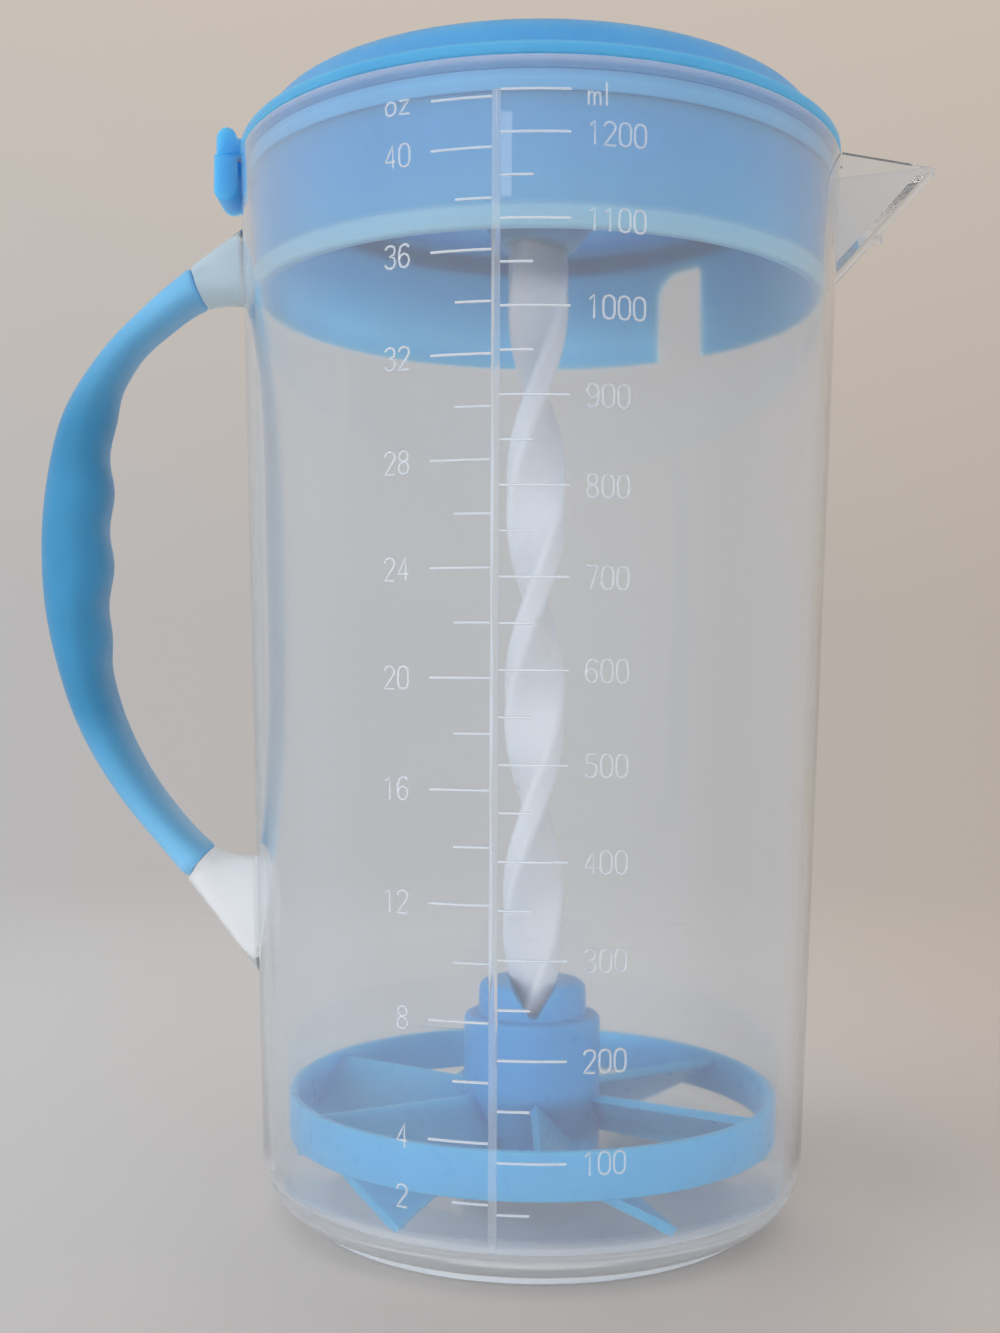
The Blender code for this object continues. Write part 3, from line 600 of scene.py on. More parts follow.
@dataclass(frozen=True)
class RubbedPlastic(MouldedPlastic):
    """Moulded plastic with a paler band outside, over a band of heights, on the bead that lies against the
    wall.
    """

    # Colour of the paler band on the bead's outside
    rubbed: Colour = (0.28, 0.54, 0.86, 1.0)
    band_reach: float = 0.0492
    band_bottom: float = 0.1578
    band_top: float = 0.1606
    band_strength: float = 0.8
    band_start: float = 0.0006
    band_end: float = 0.0012
    band_side: float = 0.0003

    def base(self, sheet: Sheet, flow: Socket) -> Socket:
        """Colour with faint flow marks and the paler band.

        Args:
            sheet: The material's sheet.
            flow: Socket of the flow marks.

        Returns:
            The colour's socket.
        """
        height = sheet.part(sheet.place(), "Z")
        bottom, top, reach = self.band_bottom, self.band_top, self.band_reach
        above = sheet.spread(height, 0, self.band_strength, bottom - self.band_start, bottom)
        below = sheet.spread(height, 1, 0, top, top + self.band_end)
        outside = sheet.spread(sheet.reach(), 0, 1, reach - self.band_side, reach + self.band_side)
        band = sheet.combine("MULTIPLY", outside, sheet.combine("MULTIPLY", above, below))
        # Blend in the paler band on the bead's outside
        return sheet.tint(band, super().base(sheet, flow), self.rubbed)


@dataclass(frozen=True)
class CoredPlastic(MouldedPlastic):
    """Moulded plastic that looks deeper near its axis, where it is thick."""

    deep: Colour = (0.03, 0.32, 0.72, 1.0)
    deep_reach: float = 0.0122
    deep_strength: float = 0.75
    deep_fade: float = 0.002

    def base(self, sheet: Sheet, flow: Socket) -> Socket:
        """Colour with faint flow marks and the deeper core.

        Args:
            sheet: The material's sheet.
            flow: Socket of the flow marks.

        Returns:
            The colour's socket.
        """
        end = self.deep_reach + self.deep_fade
        core = sheet.spread(sheet.reach(), self.deep_strength, 0, self.deep_reach, end)
        return sheet.tint(core, super().base(sheet, flow), self.deep)


@dataclass(frozen=True)
class ClearPlastic:
    """Clear milky plastic with faint flow lines and fine scratches, which lets lamps through."""

    name: str
    colour: Colour = (0.895, 0.92, 0.945, 1.0)
    clearness: float = 0.935
    roughness: float = 0.045
    shade: Colour = (0.97, 0.98, 0.99, 1.0)
    roughness_steps: tuple[float, float] = (-0.015, 0.03)
    haze: Grain = Grain(0.02, 3, (1, 1, 4))
    scratch: Grain = Grain(0.0012, 2, (14, 14, 0.5))
    scratch_share: tuple[float, float] = (0.68, 0.76)
    scratch_gloss_loss: float = 0.12
    scratch_depth: float = 0.000004
    flow: Grain = Grain(0.012, 2, (1, 1, 5))
    flow_depth: float = 0.00003

    def fill(self, sheet: Sheet, shader: bpy.types.Node) -> None:
        """Give the shader the plastic's colour and clearness, which are even all over."""
        shader.inputs["Base Color"].default_value = self.colour
        shader.inputs["Transmission Weight"].default_value = self.clearness

    def material(self) -> Material:
        """Build the material.

        Returns:
            The material.
        """
        sheet = Sheet.named(self.name)
        shader = sheet.node("ShaderNodeBsdfPrincipled")
        self.fill(sheet, shader)
        shader.inputs["IOR"].default_value = PLASTIC_IOR
        haze = sheet.spread(sheet.noise(self.haze), *beside(self.roughness, self.roughness_steps))
        scratches = sheet.spread(sheet.noise(self.scratch), 0, self.scratch_gloss_loss, *self.scratch_share)
        sheet.link(sheet.combine("ADD", haze, scratches), shader.inputs["Roughness"])
        flow = sheet.bump(sheet.noise(self.flow), self.flow_depth)
        sheet.link(sheet.bump(scratches, self.scratch_depth, flow), shader.inputs["Normal"])
        lamp = sheet.node("ShaderNodeLightPath")
        through = sheet.node("ShaderNodeBsdfTransparent")
        through.inputs["Color"].default_value = self.shade
        mix = sheet.node("ShaderNodeMixShader")
        sheet.link(lamp.outputs["Is Shadow Ray"], mix.inputs["Fac"])
        sheet.link(shader.outputs["BSDF"], mix.inputs[1])
        sheet.link(through.outputs["BSDF"], mix.inputs[2])
        return sheet.output(mix.outputs["Shader"])


@dataclass(frozen=True)
class ThickClearPlastic(ClearPlastic):
    """Clear plastic of the jug, hazier on the handle's roots, near the bottom and at the rim, with painted
    blue light on the upper root.
    """

    thick_clearness: float = 0.50
    # Painted blue light on the upper root, which fades in between the two heights below
    root_tint: Colour = (0.67, 0.82, 0.90, 1.0)
    root_step: float = 0.0002
    root_fade: float = 0.0008
    root_side: float = -0.01
    root_side_fade: float = 0.01
    tint_bottom: float = 0.09
    tint_top: float = 0.14
    bottom_height: float = 0.0045
    bottom_fade: float = 0.005
    bottom_share: float = 0.7
    rim_band: tuple[float, float] = (0.0012, 0.0004)
    rim_side: float = 0.0004
    rim_share: float = 0.35

    def root(self, sheet: Sheet) -> Socket:
        """Value that is 1 on the handle's bar and its roots.

        Args:
            sheet: The material's sheet.

        Returns:
            The value's socket.
        """
        place = sheet.place()
        wall = sheet.spread(sheet.part(place, "Z"), WALL.base_radius, WALL.rim_radius, 0, WALL.rim_height)
        proud = sheet.combine("SUBTRACT", sheet.reach(), wall)
        outside = sheet.spread(proud, 0, 1, self.root_step, self.root_step + self.root_fade)
        nearest = self.root_side - self.root_side_fade
        side = sheet.spread(sheet.part(place, "X"), 1, 0, nearest, self.root_side)
        return sheet.combine("MULTIPLY", outside, side)

    def rim(self, sheet: Sheet) -> Socket:
        """Value that rises at the wall's upper edge, but not on the spout.

        Args:
            sheet: The material's sheet.

        Returns:
            The value's socket.
        """
        height = sheet.part(sheet.place(), "Z")
        start, end = (WALL.rim_height - drop for drop in self.rim_band)
        edge = sheet.spread(height, 0, self.rim_share, start, end)
        inside = sheet.spread(sheet.reach(), 1, 0, WALL.rim_radius, WALL.rim_radius + self.rim_side)
        return sheet.combine("MULTIPLY", edge, inside)

    def fill(self, sheet: Sheet, shader: bpy.types.Node) -> None:
        """Give the shader the plastic's colour and clearness, hazier where it is thick, with painted blue
        light on the upper root.

        Args:
            sheet: The material's sheet.
            shader: The material's main shader.
        """
        height = sheet.part(sheet.place(), "Z")
        root = self.root(sheet)
        bottom_end = self.bottom_height + self.bottom_fade
        low = sheet.spread(height, self.bottom_share, 0, self.bottom_height, bottom_end)
        thick = sheet.combine("MAXIMUM", root, sheet.combine("MAXIMUM", low, self.rim(sheet)))
        clear = sheet.spread(thick, self.clearness, self.thick_clearness, 0, 1)
        sheet.link(clear, shader.inputs["Transmission Weight"])
        # Painted light: the upper root is tinted blue for the light from the blue grip and lid nearby; the
        # plastic itself is clear
        upper = sheet.combine("MULTIPLY", root, sheet.spread(height, 0, 1, self.tint_bottom, self.tint_top))
        sheet.link(sheet.tint(upper, self.colour, self.root_tint), shader.inputs["Base Color"])


@dataclass(frozen=True)
class SoftGrip:
    """Soft-touch rubber with a fine even grain and a low sheen."""

    name: str
    colour: Colour
    pale: Colour
    pale_below: float
    pale_above: float
    roughness: float = 0.52
    roughness_steps: tuple[float, float] = (-0.06, 0.08)
    tones: tuple[float, float] = (0.92, 1.08)
    below_fade: tuple[float, float] = (-0.010, 0.022)
    above_fade: tuple[float, float] = (-0.016, 0.006)
    above_strength: float = 0.7
    sheen: float = 0.15
    sheen_roughness: float = 0.5
    inner_light: float = 0.08
    inner_reach: float = 0.002
    inner_colour: tuple[float, float, float] = (0.4, 0.7, 1.0)
    wear: Grain = Grain(0.011, 4)
    rubbing: Grain = Grain(0.004, 5)
    fine: Grain = Grain(0.00035, 2)
    relief: float = 0.00002

    def ends(self, sheet: Sheet) -> Socket:
        """Value that rises towards both ends, where light from the clear bar shines into the rubber.

        Args:
            sheet: The material's sheet.

        Returns:
            The value's socket.
        """
        height = sheet.part(sheet.place(), "Z")
        low = sheet.spread(height, 1, 0, *beside(self.pale_below, self.below_fade))
        high = sheet.spread(height, 0, self.above_strength, *beside(self.pale_above, self.above_fade))
        return sheet.combine("MAXIMUM", low, high)

    def material(self) -> Material:
        """Build the material.

        Returns:
            The material.
        """
        sheet = Sheet.named(self.name)
        shader = sheet.node("ShaderNodeBsdfPrincipled")
        wear = sheet.spread(sheet.noise(self.wear), 0, 1)
        worn = sheet.tint(wear, *(scaled(self.colour, tone) for tone in self.tones))
        sheet.link(sheet.tint(self.ends(sheet), worn, self.pale), shader.inputs["Base Color"])
        rough = sheet.spread(sheet.noise(self.rubbing), *beside(self.roughness, self.roughness_steps))
        sheet.link(rough, shader.inputs["Roughness"])
        shader.inputs["Sheen Weight"].default_value = self.sheen
        shader.inputs["Sheen Roughness"].default_value = self.sheen_roughness
        shader.inputs["Subsurface Weight"].default_value = self.inner_light
        shader.inputs["Subsurface Radius"].default_value = self.inner_colour
        shader.inputs["Subsurface Scale"].default_value = self.inner_reach
        sheet.link(sheet.bump(sheet.noise(self.fine), self.relief), shader.inputs["Normal"])
        return sheet.output(shader.outputs["BSDF"])


@dataclass(frozen=True)
class PlainSteel:
    """Plain steel with a faintly uneven tone and polish."""

    name: str
    colour: Colour = (0.56, 0.57, 0.58, 1.0)
    tones: tuple[float, float] = (0.9, 1.1)
    tone: Grain = Grain(0.002, 3)
    fine: Grain = Grain(0.0004, 3)
    smooth: float = 0.25
    rough: float = 0.4

    def material(self) -> Material:
        """Build the material.

        Returns:
            The material.
        """
        sheet = Sheet.named(self.name)
        shader = sheet.node("ShaderNodeBsdfPrincipled")
        tone = sheet.spread(sheet.noise(self.tone), 0, 1)
        colour = sheet.tint(tone, *(scaled(self.colour, share) for share in self.tones))
        sheet.link(colour, shader.inputs["Base Color"])
        shader.inputs["Metallic"].default_value = 1.0
        rough = sheet.spread(sheet.noise(self.fine), self.smooth, self.rough)
        sheet.link(rough, shader.inputs["Roughness"])
        return sheet.output(shader.outputs["BSDF"])


LID_BLUE = RubbedPlastic("lid_blue", (0.076, 0.330, 0.73, 1.0), 0.34, inner_light=1.0, inner_reach=0.014)
KNOB_BLUE = MouldedPlastic("knob_blue", (0.078, 0.37, 0.80, 1.0), 0.32)
CAP_BLUE = MouldedPlastic("knob_cap_blue", (0.10, 0.39, 0.80, 1.0), 0.38)
WHEEL_BLUE = CoredPlastic("wheel_blue", (0.085, 0.49, 0.90, 1.0), 0.30, solidness=0.80)
ROD_WHITE = MouldedPlastic("rod_white", (0.70, 0.695, 0.72, 1.0), 0.30)
SEAL_BLUE = MouldedPlastic("seal_silicone", (0.15, 0.49, 0.90, 1.0), 0.40, solidness=0.9)
GRIP_BLUE = SoftGrip("grip_blue", (0.042, 0.25, 0.47, 1.0), (0.22, 0.56, 0.86, 1.0), 0.064, 0.152)
JUG_CLEAR = ThickClearPlastic("clear_jug")
TICK_CLEAR = ClearPlastic("raised_ticks", clearness=0.70, roughness=0.10)
OUNCE_CLEAR = ClearPlastic("raised_numbers", clearness=0.72, roughness=0.10)
LINE_CLEAR = ClearPlastic("raised_line", clearness=0.91, roughness=0.06)
# Painted shade: the millilitre numbers get a clearer copy of the numbers' finish, less white, for the
# weaker light on the right
SHADED_NUMBER_CLEAR = ClearPlastic("raised_numbers_painted_shade", clearness=0.77, roughness=0.08)
SCREW_STEEL = PlainSteel("screw_steel")


def placed(
    name: str, mesh: Mesh, material: Material, body: Body, nodes: Sequence[str] = ()
) -> Piece:
    """Stand a piece on the jug's axis and tell the frame about it.

    Args:
        name: The piece's name.
        mesh: Its mesh, drawn round its own Z axis.
        material: Its finish.
        body: The body that it rides on.
        nodes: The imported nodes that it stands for.

    Returns:
        The piece.
    """
    mesh.materials.clear()
    mesh.materials.append(material)
    item = bpy.data.objects.new(name, mesh)
    item.location.x = JUG_AXIS
    bpy.context.scene.collection.objects.link(item)
    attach(item, body.value)
    if nodes:
        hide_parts(*nodes)
    return item


# The jug with its spout, handle and volume scale


@dataclass
class Wall:
    """Sizes of the jug's drafted wall, which many pieces fit to."""

    rim_height: float = 0.1821
    rim_radius: float = 0.0528
    base_radius: float = 0.0466
    thickness: float = 0.0016
    floor: float = 0.0050
    inner_corner: float = 0.0040
    search_steps: int = 40

    def outer(self, height: float) -> float:
        """Outer radius at a height."""
        return self.base_radius + (self.rim_radius - self.base_radius) * height / self.rim_height

    def inner(self, height: float) -> float:
        """Inner radius at a height."""
        return self.outer(height) - self.thickness

    def space_below(self, height: float) -> float:
        """Volume inside the jug below a height, with the rounded corner left out.

        Args:
            height: Height of the surface.

        Returns:
            The volume, in cubic metres.
        """
        low, high = self.inner(self.floor), self.inner(height)
        corner = (1 - math.pi / 4) * self.inner_corner**2 * 2 * math.pi * (low - self.inner_corner / 4)
        return math.pi / 3 * (height - self.floor) * (low * low + low * high + high * high) - corner

    def height_of(self, volume: float) -> float:
        """Height that a volume fills the jug to.

        Args:
            volume: The volume, in cubic metres.

        Returns:
            The height, in metres.
        """
        low, high = self.floor, self.rim_height
        for _ in range(self.search_steps):
            middle = (low + high) / 2
            if self.space_below(middle) < volume:
                low = middle
            else:
                high = middle
        return (low + high) / 2


WALL = Wall()


@dataclass
class Handle:
    """The bowed handle bar and its soft grip.

    Each place is a pair of points, on the outer and on the inner line. A point is given as its
    reach out from the wall and its drop below the rim.
    """

    places: tuple[tuple[tuple[float, float], tuple[float, float]], ...] = (
        ((-0.00108, 0.0094), (-0.00140, 0.0236)),
        ((0.00930, 0.0173), (0.00730, 0.0240)),
        ((0.01850, 0.0250), (0.01450, 0.0287)),
        ((0.02670, 0.0339), (0.02050, 0.0345)),
        ((0.03320, 0.0451), (0.02520, 0.0446)),
        ((0.03642, 0.0596), (0.02600, 0.0591)),
        ((0.03690, 0.0736), (0.02640, 0.0736)),
        ((0.03515, 0.0857), (0.02680, 0.0851)),
        ((0.03102, 0.0991), (0.02390, 0.0979)),
        ((0.02398, 0.1115), (0.01753, 0.1101)),
        ((0.01225, 0.1262), (0.00800, 0.1205)),
        ((-0.00078, 0.1440), (-0.00105, 0.1219)),
    )
    width: float = 0.0170
    width_shares: tuple[float, ...] = (0.80, 0.74, 0.66, 0.70, 0.84, 0.95, 1.0, 1.0, 0.96, 0.90, 0.82, 0.66)
    roundness: float = 2.5
    ring_points: int = 48
    blends: int = 8
    grip_first: int = 1
    grip_last: int = 10
    grip_wall: float = 0.0016
    grip_gaps: tuple[float, float] = (0.03, 0.025)
    grip_edge: float = 0.0006
    grip_edge_spans: tuple[float, float] = (0.03, 0.07)
    grip_edge_share: float = 0.25
    scallop_top: float = 0.1441
    scallop_bottom: float = 0.0921
    scallop_count: int = 4
    scallop_depth: float = 0.0010

    def along(self, rows: Sequence[Sequence[float]], span: float) -> list[float]:
        """Point on the smooth curve through the places.

        Args:
            rows: The places.
            span: Number of the span, with its fraction.

        Returns:
            The point's values.
        """
        last = len(rows) - 1
        first = min(int(span), last - 1)
        t = span - first
        picked = (rows[max(first - 1, 0)], rows[first], rows[first + 1], rows[min(first + 2, last)])
        return [
            (2 * b + (c - a) * t + (2 * a - 5 * b + 4 * c - d) * t**2 + (3 * b - a - 3 * c + d) * t**3) / 2
            for a, b, c, d in zip(*picked)
        ]

    def beside_wall(self, place: Sequence[float]) -> Vector:
        """Point beside the wall for a reach out from it and a drop below the rim."""
        height = WALL.rim_height - place[1]
        return Vector((-WALL.outer(height) - place[0], 0, height))

    def ring(self, span: float, inset: float, swell: bool = False) -> list[Vector]:
        """One section of the handle.

        Args:
            span: Number of the span, with its fraction.
            inset: How far the section is drawn in.
            swell: True where the finger scallops show.

        Returns:
            The section's points.
        """
        outer = self.beside_wall(self.along([outside for outside, _ in self.places], span))
        inner = self.beside_wall(self.along([inside for _, inside in self.places], span))
        inward = (inner - outer).normalized()
        middle = (inner + outer) / 2
        depth = (inner - outer).length
        width = self.width * self.along([(share,) for share in self.width_shares], span)[0]
        points = []
        for i in range(self.ring_points):
            angle = 2 * math.pi * i / self.ring_points
            towards, sideways = math.cos(angle), math.sin(angle)
            power = self.roundness
            reach = (abs(towards) ** power + abs(sideways) ** power) ** (-1 / power)
            deep = (depth / 2 - inset) * reach * towards
            if swell and towards > 0:
                deep += self.scallop(middle.z) * towards**2
            points.append(middle + inward * deep + Vector((0, (width / 2 - inset) * reach * sideways, 0)))
        return points

    def scallop(self, height: float) -> float:
        """How far the grip swells inward at a height, between the fingers.

        Args:
            height: Height of the place.

        Returns:
            The swell, in metres.
        """
        if not self.scallop_bottom < height < self.scallop_top:
            return 0.0
        share = (height - self.scallop_bottom) / (self.scallop_top - self.scallop_bottom)
        return self.scallop_depth * (1 - math.cos(2 * math.pi * (share * self.scallop_count))) / 2

    def spans(self, first: float, last: float) -> list[float]:
        """Evenly spaced span numbers from the first to the last."""
        count = round((last - first) * self.blends)
        return [first + (last - first) * i / count for i in range(count + 1)]

    def bar(self) -> Mesh:
        """The clear bar, thinner where the grip lies round it.

        Returns:
            The bar's mesh.
        """
        last = len(self.places) - 1
        under = self.grip_wall + GAP
        rings = [self.ring(s, 0) for s in self.spans(0, self.grip_first)]
        rings += [self.ring(s, under) for s in self.spans(self.grip_first, self.grip_last)]
        rings += [self.ring(s, 0) for s in self.spans(self.grip_last, last)]
        return skinned("handle_bar", rings)

    def build_grip(self) -> Piece:
        """Build the soft grip with rounded ends and dress it.

        Returns:
            The grip.
        """
        places = self.spans(self.grip_first, self.grip_last)
        places[0] += self.grip_gaps[0]
        places[-1] -= self.grip_gaps[1]
        edge, (near, far) = self.grip_edge, self.grip_edge_spans
        slight = edge * self.grip_edge_share
        outer = [self.ring(places[0], edge, True)]
        outer += [self.ring(places[0] + near, slight, True), self.ring(places[0] + far, 0, True)]
        outer += [self.ring(s, 0, True) for s in places[1:-1]]
        outer += [self.ring(places[-1] - far, 0, True), self.ring(places[-1] - near, slight, True)]
        outer += [self.ring(places[-1], edge, True)]
        inner = [self.ring(s, self.grip_wall) for s in reversed(places)]
        mesh = skinned("soft_grip", outer + inner, sleeve=True)
        return placed("soft_grip", mesh, GRIP_BLUE.material(), Body.VESSEL, ["handle_grip"])


@dataclass
class Spout:
    """The V spout on the rim."""

    tip: float = 0.0713
    top: float = 0.1843
    bottom: float = 0.1630
    half_width: float = 0.0077
    wall: float = 0.0010
    blunt: float = 0.0005
    keel_bead: float = 0.0007
    keel_bead_end: float = 0.0010
    nub: float = 0.0010
    nub_share: float = 0.42
    nub_proud: float = 0.8
    bead_steps: int = 16
    nub_steps: int = 8

    def beak(self, name: str, inset: float, top: float, root: float) -> Mesh:
        """A V-shaped beak whose faces lie an inset inside the spout's outline.

        Args:
            name: Name of the mesh.
            inset: Distance inside the outline.
            top: Height of its top.
            root: Distance of its root from the axis.

        Returns:
            The beak's mesh.
        """
        outer_root = WALL.outer(self.bottom)
        reach = self.tip - outer_root
        half_angle = math.atan2(self.half_width, reach)
        shift = inset / math.sin(half_angle)
        slope = reach / (self.top - self.bottom)
        side = self.half_width / reach
        rings = []
        for height in (self.bottom + shift / slope + self.blunt, top):
            tip = outer_root + (height - self.bottom) * slope - shift
            across = (tip - root) * side
            near = tip - self.blunt
            rings.append([Vector(p) for p in (
                (root, -across, height), (near, -self.blunt * side, height), (tip, 0, height),
                (near, self.blunt * side, height), (root, across, height),
            )])
        return skinned(name, rings)

    def keel(self) -> list[tuple[Carve, Mesh]]:
        """The rounded bead along the keel and the moulding nub on it.

        Returns:
            The bead and the nub, to be added to the jug.
        """
        root, tip = WALL.outer(self.bottom), self.tip
        high = Vector((tip - self.keel_bead_end, 0, self.top - self.keel_bead_end))
        low = Vector((root + self.keel_bead / 2, 0, self.bottom + self.keel_bead / 2))
        along = (high - low).normalized()
        out = Vector((along.z, 0, -along.x))
        ball = arc((0, 0), (self.keel_bead, self.keel_bead), 0, 2 * math.pi, self.bead_steps)[:-1]
        across = Vector((0, 1, 0))
        rings = [[place + out * x + across * y for x, y in ball] for place in (low, high)]
        spot = low.lerp(high, self.nub_share) + out * self.nub * self.nub_proud
        dome_line = arc((0, 0), (self.nub, self.nub), math.pi / 2, -math.pi / 2, self.nub_steps)
        dome = turned("nub", dome_line, NUB_TURN_STEPS, closed=False)
        dome.transform(Matrix.Translation(spot))
        return [(Carve.ADD, skinned("keel_bead", rings)), (Carve.ADD, dome)]


@dataclass
class Jug:
    """The clear jug body: wall, rounded bottom corner, foot ring, handle bar and spout."""

    corner_height: float = 0.0110
    foot_radius: float = 0.0396
    foot_width: float = 0.0021
    foot_step: float = 0.0014
    floor_thickness: float = 0.0020
    rim_round: float = 0.0005
    foot_round: float = 0.0004
    flange_swing: float = 0.0532
    spout_overlap: float = 0.0012
    wall_rows: tuple[float, ...] = (0.15, 0.12, 0.09, 0.06, 0.03)
    corner_steps: int = 14
    inner_corner_steps: int = 10
    edge_steps: int = 4

    def outside(self) -> Outline:
        """Outline of the solid jug, from the top centre to the centre of its underside.

        Returns:
            The outline.
        """
        wall = WALL.outer(self.corner_height)
        reach = (wall - self.foot_radius, self.corner_height - self.foot_step)
        corner = arc((self.foot_radius, self.corner_height), reach, 0, -math.pi / 2, self.corner_steps)
        under = WALL.floor - self.floor_thickness
        inside = self.foot_radius - self.foot_width
        rise = [(WALL.outer(z), z) for z in self.wall_rows]
        foot = rounded([
            (self.foot_radius, self.foot_step, 0),
            (self.foot_radius, 0, self.foot_round),
            (inside, 0, self.foot_round),
            (inside, under, self.rim_round),
            (0, under, 0),
        ], self.edge_steps, closed=False)
        rim = rounded([
            (0, WALL.rim_height, 0),
            (WALL.rim_radius, WALL.rim_height, self.rim_round),
            (*rise[0], 0),
        ], self.edge_steps, closed=False)
        return rim + rise[1:] + corner + foot[1:]

    def inside(self) -> Outline:
        """Outline of the space inside, carried past the rim.

        Returns:
            The outline.
        """
        mouth = WALL.rim_height + OVERRUN
        corner_height = WALL.floor + WALL.inner_corner
        wall = WALL.inner(corner_height)
        reach = (WALL.inner_corner, WALL.inner_corner)
        centre = (wall - WALL.inner_corner, corner_height)
        corner = arc(centre, reach, 0, -math.pi / 2, self.inner_corner_steps)
        fall = [(WALL.inner(z), z) for z in (mouth, *self.wall_rows)]
        return [(0, mouth)] + fall + corner + [(0, WALL.floor)]

    def build(self, handle: Handle, spout: Spout) -> Piece:
        """Build the jug body in one moulding and dress it.

        Args:
            handle: The handle whose bar is moulded on.
            spout: The spout on its rim.

        Returns:
            The jug body.
        """
        above = spout.top + OVERRUN
        swing = self.flange_swing
        clearance = [(0, above), (swing, above), (swing, WALL.rim_height), (0, WALL.rim_height)]
        spout_root = WALL.outer(spout.bottom) - self.spout_overlap
        hollow_root = WALL.inner(WALL.rim_height) - WALL.thickness - OVERRUN
        mesh = carved(
            turned("jug", self.outside(), closed=False),
            [
                (Carve.ADD, handle.bar()),
                (Carve.ADD, spout.beak("spout_outside", 0, spout.top, spout_root)),
                (Carve.CUT, turned("jug_inside", self.inside(), closed=False)),
                (Carve.CUT, spout.beak("spout_inside", spout.wall, above, hollow_root)),
                *spout.keel(),
                (Carve.CUT, turned("flange_swing", clearance, closed=False)),
            ],
        )
        return placed("clear_jug_body", mesh, JUG_CLEAR.material(), Body.VESSEL, ["jug_body"])


# Strokes of each sign, as points in hundredths of the sign's height: across,up
SIGNS = {
    "0": "25,0 8,6 0,25 0,75 8,94 25,100 42,94 50,75 50,25 42,6 25,0",
    "1": "8,80 28,100 28,0",
    "2": "0,78 6,93 25,100 44,93 50,76 45,60 0,0 50,0",
    "3": "0,84 10,96 25,100 42,94 48,77 42,60 20,53 42,47 50,27 43,7 25,0 8,5 0,18",
    "4": "37,0 37,100 0,28 50,28",
    "5": "46,100 7,100 3,55 16,63 32,63 46,53 50,32 43,9 25,0 8,4 0,17",
    "6": "47,86 40,97 25,100 8,90 0,62 0,30 8,7 25,0 42,7 50,30 42,52 25,60 8,52 0,36",
    "7": "0,100 50,100 18,0",
    "8": "25,54 8,62 3,78 10,95 25,100 40,95 47,78 42,62 25,54 7,45 0,26 7,6 25,0 43,6 50,26 43,45 25,54",
    "9": "3,14 10,3 25,0 42,10 50,38 50,70 42,93 25,100 8,93 0,70 8,48 25,40 42,48 50,64",
    "o": "25,0 6,8 0,30 6,52 25,60 44,52 50,30 44,8 25,0",
    "z": "2,58 46,58 0,0 50,0",
    "m": "0,0 0,60 / 0,42 12,58 24,50 26,0 / 26,42 38,58 50,50 52,0",
    "l": "10,100 10,0",
}


def strokes_of(sign: str) -> list[Outline]:
    """Strokes of a sign that is one high, drawn from its lower left corner.

    Args:
        sign: The digit or letter.

    Returns:
        The strokes, as points of (across, up).
    """
    drawn = [[point.split(",") for point in stroke.split()] for stroke in SIGNS[sign].split(" / ")]
    return [[(int(across) / 100, int(up) / 100) for across, up in stroke] for stroke in drawn]


